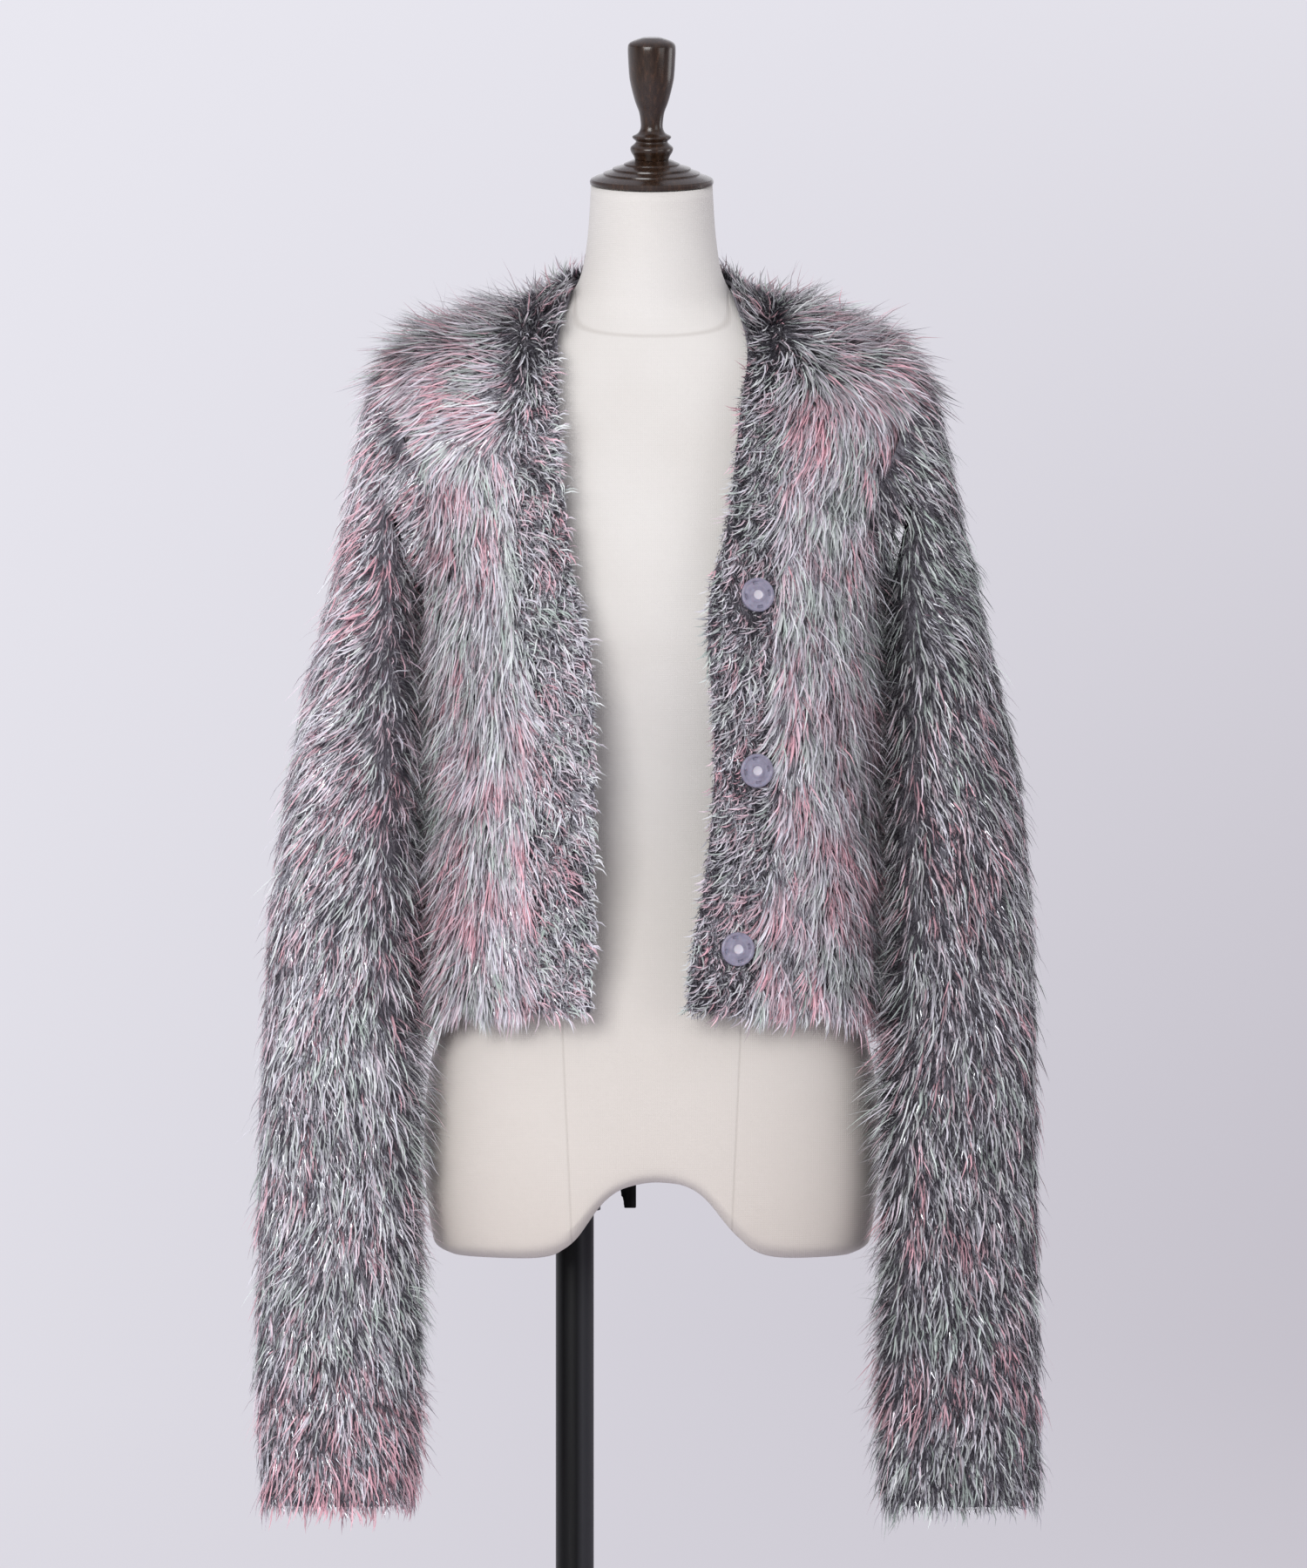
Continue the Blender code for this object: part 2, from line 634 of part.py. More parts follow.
def neck_band(name, finish):
    """The band round the back of the neck, between the two shoulders."""
    half_gap = SEAM_GAP / 2
    edge_top = shoulder_level(seam_reach(1))
    seam_top = shoulder_level(seam_reach(1, 1.0, -half_gap))

    def line_at(level, drop, lift):
        def at(u):
            here = level + lift - drop * math.sin(u * math.pi)
            start = math.pi / 2 + phi_beside_seam(here, half_gap)
            return start + u * (2 * math.pi - 2 * start), here

        return at

    def end(turn):
        def at(v):
            level = seam_top + SEAM_GAP + v * (edge_top - seam_top - SEAM_GAP)
            phi = math.pi / 2 + phi_beside_seam(level, half_gap)
            return (phi if turn == 0 else 2 * math.pi - phi), level

        return at

    bottom, top = line_at(seam_top, NAPE_DROP, SEAM_GAP), line_at(edge_top, NECK_EDGE_DROP, 0.0)
    grid = blend_patch(bottom, top, end(0), end(1), *NECK_BAND_GRID)
    return cloth_panel(name, grid, BAND_WALL, BAND_SET_BACK, finish)


def sleeve_table(rows):
    """The sleeve's sections as a smooth function of the way down it, from 0 to 1."""
    steps = np.linspace(0, 1, len(rows))
    keyed = [(step, *row) for step, row in zip(steps, rows)]
    return smooth_table(("step", *SLEEVE_COLUMNS), keyed)


def sleeve_length(grid, first, last):
    """Some rings of a sleeve, drawn back by half a seam's gap at an end where it is cut across."""
    rings = grid[first : last + 1]
    ends = ((0, 1, first > 0), (-1, -2, last < len(grid) - 1))
    drawn = [(end, list(zip(rings[end], rings[beside]))) for end, beside, cut in ends if cut]
    for end, pairs in drawn:
        rings[end] = [p + (q - p).normalized() * SEAM_GAP / 2 for p, q in pairs]
    return rings


def sleeve(name, side, rows, creases, finish):
    """A set-in sleeve: its first ring is the armhole, the others follow the table down to the cuff."""
    section = sleeve_table(rows)

    def surface(turn, step):
        row = section(step)
        outer = Vector((row["outer_x"], row["y"], row["outer_z"]))
        inner = Vector((row["inner_x"], row["y"], row["inner_z"]))
        middle, reach = (outer + inner) / 2, (outer - inner) / 2
        power = 2 / row["power"]
        cosine, sine = math.cos(turn), math.sin(turn)
        along = math.copysign(abs(cosine) ** power, cosine)
        deep = math.copysign(abs(sine) ** power, sine)
        ring = reach * along + Vector((0, -row["depth"] * deep, 0))
        degrees = math.degrees(turn)
        rise = soft_rise(creases, SLEEVE_CREASE_COLUMNS, degrees, step)
        rise *= min(1.0, step / SLEEVE_CREASE_START)
        return middle + ring * (1 + rise / ring.length)

    mirror = Matrix.Diagonal((side, 1, 1))
    turns = [2 * math.pi * i / SLEEVE_RING for i in range(SLEEVE_RING)]
    outer, inward = [], []
    for j in range(SLEEVE_ROWS):
        step = j / (SLEEVE_ROWS - 1)
        points = [surface(turn, step) for turn in turns]
        normals = [normal_of(surface, turn, step, BESIDE_ON_SLEEVE) for turn in turns]
        middle = sum(points, Vector()) / len(points)
        inside = [n if n.dot(middle - p) > 0 else -n for n, p in zip(normals, points)]
        outer.append([mirror @ point for point in points])
        inward.append([mirror @ n for n in inside])
    edge, edge_inward = [], []
    for turn in turns:
        phi, level = armhole(turn, -SEAM_GAP)
        edge.append(body_point(side * phi, level))
        edge_inward.append((body_point(side * phi, level, -PANEL_WALL) - edge[-1]).normalized())
    middle = sum(edge, Vector()) / len(edge)
    head, head_inward = [edge], [edge_inward]
    for share in SLEEVE_HEAD_STEPS:
        swing = math.sin(share * math.pi)
        ring, line = [], []
        for turn, *ends, first, last in zip(turns, edge, outer[0], edge_inward, inward[0]):
            puff = SLEEVE_HEAD_PUFF * swing * (1 + math.cos(turn)) / 2
            ring.append(ends[0].lerp(ends[1], share) - puff * (first + last).normalized())
            hollow = (middle - ends[0]).normalized()
            line.append((first * (1 - share) + last * share + hollow * swing).normalized())
        head.append(ring)
        head_inward.append(line)
    outer, inward = head + outer, head_inward + inward
    inner = [[p + PANEL_WALL * n for p, n in zip(*rows)] for rows in zip(outer, inward)]
    for length, start, end in SLEEVE_LENGTHS:
        grids = [sleeve_length(grid, start, end) for grid in (outer, inner)]
        finished(f"{name}_{length}", wall_mesh(*grids, round_ring=True), finish)


def disc_profile(lift, flip):
    """A sewn snap half's turned profile: a rounded rim and a shallow dish round its centre hole."""
    sign = -1 if flip else 1
    rows = (
        (SNAP_HOLE_RADIUS, 0.0),
        (SNAP_RADIUS, 0.0),
        (SNAP_RADIUS, SNAP_RIM_THICK),
        (SNAP_RADIUS - SNAP_RIM_ROUND, SNAP_THICK),
        (SNAP_DISH_RADIUS, SNAP_DISH_THICK),
        (SNAP_HOLE_RADIUS, SNAP_THICK),
    )
    return [(radius, sign * (lift + height)) for radius, height in rows]


def turned_mesh(profile, segments, closed):
    """A turned mesh about Z. A closed profile makes a ring, an open one is capped at both ends."""
    bm = bmesh.new()
    rings = []
    for radius, height in profile:
        ring = []
        for i in range(segments):
            angle = 2 * math.pi * i / segments
            ring.append(bm.verts.new((radius * math.cos(angle), radius * math.sin(angle), height)))
        rings.append(ring)
    pairs = list(zip(rings, rings[1:]))
    if closed:
        pairs.append((rings[-1], rings[0]))
    for low, high in pairs:
        for i in range(segments):
            k = (i + 1) % segments
            bm.faces.new((low[i], low[k], high[k], high[i]))
    if not closed:
        bm.faces.new(list(reversed(rings[0])))
        bm.faces.new(rings[-1])
    return bm


def turned(name, profile, finish, place, segments=TURNED_RING, closed=False, sharp=30):
    """A turned piece, set in place by a matrix."""
    obj = finished(name, turned_mesh(profile, segments, closed), finish, sharp)
    obj.matrix_world = place
    return obj


def snap(name, side, row, outside, finish):
    """A snap half, on the band's pile or on its back."""
    level = row["level"]
    reach = seam_reach(side)(level) + row["from_edge"]
    phi = side * phi_at_x(reach, level)
    normal = normal_of(body_base, phi, level, BESIDE_ON_BODY)
    if outside:
        at = body_point(phi, level, -BAND_SET_BACK)
        profile = disc_profile(SEAM_GAP, False)
    else:
        at = body_point(phi, level, -BAND_SET_BACK - BAND_WALL)
        profile = disc_profile(row["inside_lift"], True)
    turn = Vector((0, 0, 1)).rotation_difference(normal).to_matrix().to_4x4()
    place = Matrix.Translation(at) @ turn
    return turned(name, profile, finish, place, segments=SNAP_RING, closed=True)


def form_point(phi, level, inset=0.0):
    """A point of the dress form, with its soft bust."""
    point = ring_point(form_row(level), phi, level, inset)
    if point.y > 0:
        return point
    aside = abs(point.x) - BUST_HALF_SPACING
    near = math.exp(-((aside / BUST_SPREAD) ** 2) - ((level - BUST_LEVEL) / BUST_SPREAD) ** 2)
    return point - Vector((0, BUST_SWELL * near, 0))


def form_angles():
    """The angles of a ring of the form, closer together at the front and back, where the arch is."""
    quarter = [math.radians(angle) for angle in FORM_QUARTER]
    half = quarter + [math.pi / 2] + [math.pi - angle for angle in reversed(quarter[1:])]
    return half + [math.pi + angle for angle in half]


def stacked(name, rings, finish, closed=False):
    """Rings of points joined one to the next. A closed stack's last ring meets its first."""
    bm = bmesh.new()
    made = [[bm.verts.new(point) for point in ring] for ring in rings]
    pairs = list(zip(made, made[1:]))
    if closed:
        pairs.append((made[-1], made[0]))
    for low, high in pairs:
        for i in range(len(low)):
            k = (i + 1) % len(low)
            bm.faces.new((low[i], low[k], high[k], high[i]))
    if not closed:
        bm.faces.new(list(reversed(made[0])))
        bm.faces.new(made[-1])
    bmesh.ops.triangulate(bm, faces=bm.faces)
    return finished(name, bm, finish)


def form_skirt(name, finish):
    """The lowest part of the form, a wall round its hollow underside, with an arched lower edge."""
    phis = form_angles()
    top = FORM_CEILING - SEAM_GAP
    rims = [arch_row(form_point(phi, FORM_RIM).x)["level"] for phi in phis]
    edges = list(zip(phis, rims))
    ceiling = [Vector((*form_point(phi, rim, FORM_SHELL).xy, top)) for phi, rim in edges]
    rings = [ceiling]
    rings.append([form_point(phi, rim + FORM_RIM_INSIDE, FORM_SHELL) for phi, rim in edges])
    for share in FORM_RIM_STEPS:
        lift = share * FORM_RIM_ROUND
        inset = FORM_RIM_ROUND - math.sqrt(FORM_RIM_ROUND**2 - (FORM_RIM_ROUND - lift) ** 2)
        rings.append([form_point(phi, rim + lift, inset) for phi, rim in edges])
    starts = [(phi, rim + FORM_RIM_ROUND) for phi, rim in edges]
    for share in FORM_LOW_STEPS:
        rings.append([form_point(phi, low + share * (top - low)) for phi, low in starts])
    return stacked(name, rings, finish, closed=True)


def form_torso(name, finish):
    """The form above its hollow underside, as a smooth torso up to the neck."""
    phis = form_angles()
    levels = (FORM_CEILING, *FORM_HIP_LEVELS, *FORM_CHEST_LEVELS)
    levels = (*levels, *FORM_SHOULDER_LEVELS, *FORM_NECK_LEVELS)
    rings = [[form_point(phi, level) for phi in phis] for level in levels]
    return stacked(name, rings, finish)


def form_board(name, finish):
    """The board inside the form's underside, which the pole's flange is screwed to."""
    top = FORM_CEILING - SEAM_GAP
    level = top - BOARD_THICK
    inset = FORM_SHELL + BOARD_CLEARANCE
    outline = [form_point(phi, FORM_RIM, inset).xy for phi in form_angles()]
    return stacked(name, [[(*point, height) for point in outline] for height in (level, top)], finish)


def extruded(name, outline, low, high, finish):
    """A flat outline in X and Z, made solid from one y to another."""
    return stacked(name, [[(x, y, z) for x, z in outline] for y in (low, high)], finish)


def build_cardigan():
    long_pile = ("long_pile_knit", "#8d8a90", 0.85, 0.0)
    short_pile = ("short_pile_knit", "#6f6d75", 0.80, 0.0)
    plastic = ("snap_plastic", "#77738f", 0.35, 0.0)
    back_panel("body_back", long_pile)
    front_panel("front_right", -1, long_pile)
    front_panel("front_left", 1, long_pile)
    sleeve("sleeve_right", -1, SLEEVE_RIGHT, SLEEVE_CREASES_RIGHT, long_pile)
    sleeve("sleeve_left", 1, SLEEVE_LEFT, SLEEVE_CREASES_LEFT, long_pile)
    front_band("band_right", -1, short_pile)
    front_band("band_left", 1, short_pile)
    neck_band("band_neck", short_pile)
    for number, values in enumerate(SNAPS, 1):
        row = dict(zip(SNAP_COLUMNS, values))
        snap(f"snap_left_{number}", 1, row, True, plastic)
        snap(f"snap_right_{number}", -1, row, False, plastic)


def build_form():
    linen = ("cream_linen", "#e9e5e0", 0.90, 0.0)
    dark_wood = ("dark_turned_wood", "#3b2a24", 0.30, 0.0)
    form_torso("form_torso", linen)
    form_skirt("form_skirt", linen)
    form_board("form_board", ("painted_board", "#2a2826", 0.60, 0.0))
    top = form_row(NECK_TOP)
    centre_y = (top["back"] - top["front"]) / 2
    centre = Vector((0, centre_y, NECK_TOP + top["lean"] * centre_y))
    tilt = Matrix.Rotation(math.atan(top["lean"]), 4, "X")
    place = Matrix.Translation(centre) @ tilt @ Matrix.Translation((0, 0, SEAM_GAP))
    turned("neck_cap", CAP_PROFILE, dark_wood, place, segments=28)
    turned("neck_finial", FINIAL_PROFILE, dark_wood, place)


def build_stand():
    black = ("satin_black_steel", "#17171a", 0.45, 0.6)
    at_pole = Matrix.Translation((POLE_X, 0, 0))
    board_under = FORM_CEILING - SEAM_GAP - BOARD_THICK
    flange = (board_under - SEAM_GAP - FLANGE_THICK, board_under - SEAM_GAP)
    pole_span = (BASE_THICK + SEAM_GAP, flange[0] - SEAM_GAP)
    base = (
        (BASE_RADIUS - BASE_EDGE, 0.0),
        (BASE_RADIUS, BASE_EDGE),
        (BASE_RADIUS, BASE_THICK - BASE_EDGE),
        (BASE_RADIUS - BASE_EDGE, BASE_THICK),
    )
    turned("base_plate", base, black, at_pole, segments=48)
    inside = POLE_RADIUS + SEAM_GAP
    hub = (
        (inside, BASE_THICK + SEAM_GAP),
        (HUB_FOOT_RADIUS, BASE_THICK + SEAM_GAP),
        (HUB_FOOT_RADIUS, HUB_FOOT_EDGE),
        (HUB_RADIUS, HUB_FOOT_TOP),
        (HUB_RADIUS, HUB_HEIGHT),
        (inside, HUB_HEIGHT),
    )
    turned("base_hub", hub, black, at_pole, closed=True)
    pole = ((POLE_RADIUS, pole_span[0]), (POLE_RADIUS, pole_span[1]))
    turned("pole", pole, black, at_pole)
    collar = (
        (inside, COLLAR_SPAN[0]),
        (COLLAR_RADIUS, COLLAR_SPAN[0]),
        (COLLAR_RADIUS, COLLAR_SPAN[1]),
        (inside, COLLAR_SPAN[1]),
    )
    turned("pole_collar", collar, black, at_pole, closed=True)
    turned("pole_flange", ((FLANGE_RADIUS, flange[0]), (FLANGE_RADIUS, flange[1])), black, at_pole)
    outline = [(x, min(z, flange[1])) for x, z in BRACKET_OUTLINE]
    extruded("clamp_bracket", outline, -BRACKET_HALF_DEPTH, BRACKET_HALF_DEPTH, black)
    screw = ((SCREW_RADIUS, inside), (SCREW_RADIUS, SCREW_TIP))
    across = at_pole @ Matrix.Translation((0, 0, SCREW_LEVEL)) @ Matrix.Rotation(math.pi / 2, 4, "Y")
    turned("pole_screw", screw, black, across, segments=12)


build_cardigan()
build_form()
build_stand()
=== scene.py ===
import math
from functools import partial

import bmesh
import bpy
import numpy as np
from mathutils import Matrix, Vector, noise
from mathutils.kdtree import KDTree


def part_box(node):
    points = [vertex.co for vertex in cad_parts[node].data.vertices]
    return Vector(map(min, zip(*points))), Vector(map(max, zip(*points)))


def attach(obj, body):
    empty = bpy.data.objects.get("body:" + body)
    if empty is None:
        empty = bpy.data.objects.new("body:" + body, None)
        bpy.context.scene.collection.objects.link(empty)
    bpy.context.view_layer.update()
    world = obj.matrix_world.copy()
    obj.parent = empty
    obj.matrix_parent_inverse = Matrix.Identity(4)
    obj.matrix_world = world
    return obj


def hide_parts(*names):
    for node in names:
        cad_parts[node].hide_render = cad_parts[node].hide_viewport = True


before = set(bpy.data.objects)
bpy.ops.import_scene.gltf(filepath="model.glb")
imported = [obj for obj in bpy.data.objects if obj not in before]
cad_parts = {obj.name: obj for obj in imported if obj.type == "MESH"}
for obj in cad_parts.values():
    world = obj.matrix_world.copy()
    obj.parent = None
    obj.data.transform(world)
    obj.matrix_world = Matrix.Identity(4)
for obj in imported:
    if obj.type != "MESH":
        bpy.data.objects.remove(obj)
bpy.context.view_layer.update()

# A furry cropped cardigan worn by a limbless dress form on a stand.
# Metres, +Z up, the garment's front faces -Y. Left and right are the wearer's, and the wearer's right is -X.
noise.seed_set(1)  # noise_vector would otherwise start from the clock


# An sRGB hex colour as linear light
def linear(hexColour):
    shades = [int(hexColour[i : i + 2], 16) / 255 for i in (1, 3, 5)]
    return (*[c / 12.92 if c <= 0.04045 else ((c + 0.055) / 1.055) ** 2.4 for c in shades], 1.0)


# Fills inputs by name or number, from a node's first output, from a socket or with a fixed value
def fillInputs(node, values):
    for key, value in values.items():
        if isinstance(value, bpy.types.Node):
            value = value.outputs[0]
        if isinstance(value, bpy.types.NodeSocket):
            node.id_data.links.new(value, node.inputs[key])
        else:
            node.inputs[key].default_value = value


# Adds a node to a tree. A kind without a family is a shader node's, and a slash comes before its
# operation. Then come its inputs, in their order or in a dictionary. stops fill a colour ramp, and
# the rest are the node's own settings.
def addNode(tree, kind, *inputs, stops=(), **settings):
    kind, slash, operation = kind.partition("/")
    node = tree.nodes.new(kind if "Node" in kind else "ShaderNode" + kind)
    if slash:
        node.operation = operation
    for key, value in settings.items():
        setattr(node, key, value)
    for number, value in enumerate(inputs):
        fillInputs(node, value if isinstance(value, dict) else {number: value})
    if stops:
        elements = node.color_ramp.elements
        while len(elements) < len(stops):
            elements.new(1.0)
        for element, (place, colour) in zip(elements, stops):
            element.position, element.color = place, linear(colour)
    return node


# A material whose shader gets the inputs that a function returns, from the nodes that it adds
def newMaterial(name, build):
    made = bpy.data.materials.new(name)
    made.use_nodes = True
    fillInputs(made.node_tree.nodes["Principled BSDF"], build(partial(addNode, made.node_tree)))
    return made


def smoothStep(low, high, value):
    share = min(max((value - low) / (high - low), 0.0), 1.0)
    return share * share * (3 - 2 * share)


def stepThrough(table, value):
    return float(np.interp(value, [row[0] for row in table], [row[1] for row in table]))


def addObject(name, data, material=None):
    made = bpy.data.objects.new(name, data)
    bpy.context.scene.collection.objects.link(made)
    if material:
        data.materials.clear()
        data.materials.append(material)
    return made


# CAD nodes' solids as one mesh to edit, with their doubles merged
def solidOf(*nodes):
    bm = bmesh.new()
    for node in nodes:
        bm.from_mesh(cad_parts[node].data)
    bmesh.ops.remove_doubles(bm, verts=bm.verts, dist=1e-5)
    return bm


def meshFrom(bm, name):
    mesh = bpy.data.meshes.new(name)
    bm.to_mesh(mesh)
    bm.free()
    return mesh


# Shades a mesh smooth, but for edges sharper than this angle in degrees
def shadeRound(mesh, sharp):
    mesh.shade_smooth()
    mesh.set_sharp_from_angle(angle=math.radians(sharp))
    return mesh


# A mesh as one modifier leaves it. The values are the inputs of a node group.
def modified(mesh, kind, settings, values={}):
    holder = addObject("holder", mesh)
    modifier = holder.modifiers.new(kind, kind)
    for key, value in settings.items():
        setattr(modifier, key, value)
    for key, value in values.items():
        modifier[key] = value
    graph = bpy.context.evaluated_depsgraph_get()
    made = bpy.data.meshes.new_from_object(
        holder.evaluated_get(graph), preserve_all_data_layers=True, depsgraph=graph
    )
    bpy.data.objects.remove(holder)
    return made


def smoothed(mesh, levels):
    return modified(
        mesh, "SUBSURF", {"levels": levels, "render_levels": levels, "boundary_smooth": "PRESERVE_CORNERS"}
    )


# Puts a finished piece on the one body and hides the solids it stands for
def addPiece(obj, nodes=()):
    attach(obj, "root")
    if nodes:
        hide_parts(*nodes)
    return obj


# ---- materials of the cardigan ----
dyes = {
    "feather": (
        (0.0, "#e6b2bd"), (0.14, "#e4bdc7"), (0.3, "#e1d0d9"), (0.5, "#dddce5"),
        (0.68, "#e4e6e6"), (0.84, "#ced8d3"), (1.0, "#b9c7bf"),
    ),
    "film": (
        (0.0, "#3d3a41"), (0.32, "#65616a"), (0.52, "#8e8b94"), (0.7, "#bcbec6"),
        (0.82, "#fbfcff"), (0.9, "#f4f5f8"), (0.94, "#86606f"), (1.0, "#b1919d"),
    ),
    "knit": ((0.0, "#353138"), (0.55, "#5b5761"), (1.0, "#918e98")),
    "down": ((0.3, "#57535c"), (0.55, "#8b8791"), (0.75, "#bdbbc4")),
}


# Brushed feather yarn: long matt locks, dyed in lengths so that the colour changes along the courses.
# The root is darker, because little light gets down to it, and the tip is thinner and paler.
def featherYarn(add):
    tint, tone, along = (
        add("Attribute", attribute_name=name).outputs["Fac"] for name in ("tint", "tone", "along")
    )
    dye = add("ValToRGB", tint, stops=dyes["feather"])
    rootShade = add("MapRange", along, {"From Max": 0.5, "To Min": 0.72, "To Max": 1.0})
    toneShade = add("MapRange", tone, {"To Min": 0.5, "To Max": 1.22})
    shade = add("Math/MULTIPLY", rootShade, toneShade)
    colour = add("VectorMath/SCALE", dye, {"Scale": shade})
    return {"Base Color": colour, "Roughness": 0.55, "Sheen Weight": 0.25}


# Crimped metallised film thread: dark charcoal with silver and a few wine-red lengths. It is a
# metal to the eye, and each short facet turns its own way, which gives the pile its glitter.
def filmThread(add):
    tone, along = (add("Attribute", attribute_name=name).outputs["Fac"] for name in ("tone", "along"))
    dye = add("ValToRGB", tone, stops=dyes["film"])
    rootShade = add("MapRange", along, {"From Max": 0.5, "To Min": 0.75, "To Max": 1.0})
    colour = add("VectorMath/SCALE", dye, {"Scale": rootShade})
    rough = add("MapRange", tone, {"To Min": 0.45, "To Max": 0.28})
    return {"Base Color": colour, "Roughness": rough, "Metallic": 0.45}


# Plain knit backing of dark yarn. Its V-shaped stitches, 4.6 mm wide, show inside the cuffs, the
# hem and the neck. Its outside is hidden by short down, seen as grey streaks between the locks.
def knitBacking(add):
    place = add("UVMap", uv_map="stitch")
    aside, along = add("SeparateXYZ", place).outputs[:2]
    wale = add("Math/MULTIPLY", aside, 1 / 0.0046)
    course = add("Math/MULTIPLY", along, 1 / 0.0038)
    across = add("Math/FRACT", wale)
    fromMiddle = add("Math/SUBTRACT", across, 0.5)
    leg = add("Math/ABSOLUTE", fromMiddle)
    slant = add("Math/MULTIPLY_ADD", leg, 1.5, course)
    turn = add("Math/MULTIPLY", slant, 2 * math.pi)
    loops = add("Math/SINE", turn)
    beside = add("Math/MULTIPLY", leg, 2 * math.pi)
    legs = add("Math/SINE", beside)
    both = add("Math/MULTIPLY_ADD", loops, 0.5, 0.2)
    height = add("Math/ADD", both, legs)
    fuzz = add("TexNoise", {"Scale": 900.0, "Detail": 3.0})
    shade = add("Math/MULTIPLY_ADD", height, 0.45, fuzz)
    halved = add("Math/MULTIPLY", shade, 0.6)
    # painted shade: the colour follows the stitch relief, darker in the hollows between the loops, with
    # random fuzz
    dye = add("ValToRGB", halved, stops=dyes["knit"])
    bump = add("Bump", {"Strength": 0.8, "Distance": 0.0012, "Height": shade})
    drawn = add("Mapping", {"Scale": (1.0, 0.12, 1.0), "Vector": place})
    streaks = add("TexNoise", {"Scale": 1100.0, "Detail": 2.0, "Vector": drawn})
    down = add("ValToRGB", streaks, stops=dyes["down"])
    outside = add("Attribute", attribute_name="outside")
    colour = add("Mix", {0: outside.outputs["Fac"], 6: dye, 7: down}, data_type="RGBA")
    return {"Base Color": colour.outputs[2], "Normal": bump, "Roughness": 0.9, "Sheen Weight": 0.2}


featherMaterial = newMaterial("space_dyed_brushed_feather_yarn", featherYarn)
filmMaterial = newMaterial("crimped_metallised_film_thread", filmThread)
knitMaterial = newMaterial("plain_knit_backing", knitBacking)


# ---- strands of the pile ----
# Each is a narrow ribbon along +Y, as rows of (along, height, half width, aside) in millimetres
strands = {
    "feather": ((0, -0.3, 0.0, 0.0), (9, 3.6, 0.58, 0.5), (20, 4.8, 0.46, -0.5), (31, 4.0, 0.0, 0.6)),
    "film": ((0, -0.2, 0.0, 0.0), (6.5, 4.1, 0.34, 0.7), (14, 5.2, 0.0, -0.5)),
}


def strandObject(name):
    points, shares, faces, previous = [], [], [], None
    longest = strands[name][-1][0]
    for along, height, half, aside in strands[name]:
        offsets = (-half, half) if half else (0.0,)
        ring = range(len(points), len(points) + len(offsets))
        points += [((aside + offset) / 1000, along / 1000, height / 1000) for offset in offsets]
        shares += [along / longest] * len(offsets)
        if previous:
            faces.append((*previous, *reversed(ring)))
        previous = ring
    mesh = bpy.data.meshes.new(name)
    mesh.from_pydata(points, [], faces)
    mesh.attributes.new("along", "FLOAT", "POINT").data.foreach_set("value", shares)
    return bpy.data.objects.new(name + "Strand", mesh)


# Each random value of a strand: its step of the seed, its lowest and its highest
strandDraws = {
    "stray": (0, -1.0, 1.0), "stand": (3, 0.0, 1.0), "roll": (5, -0.8, 0.8),
    "size": (7, 0.62, 1.2), "tone": (9, 0.0, 1.0), "tint": (11, -0.14, 0.14),
}


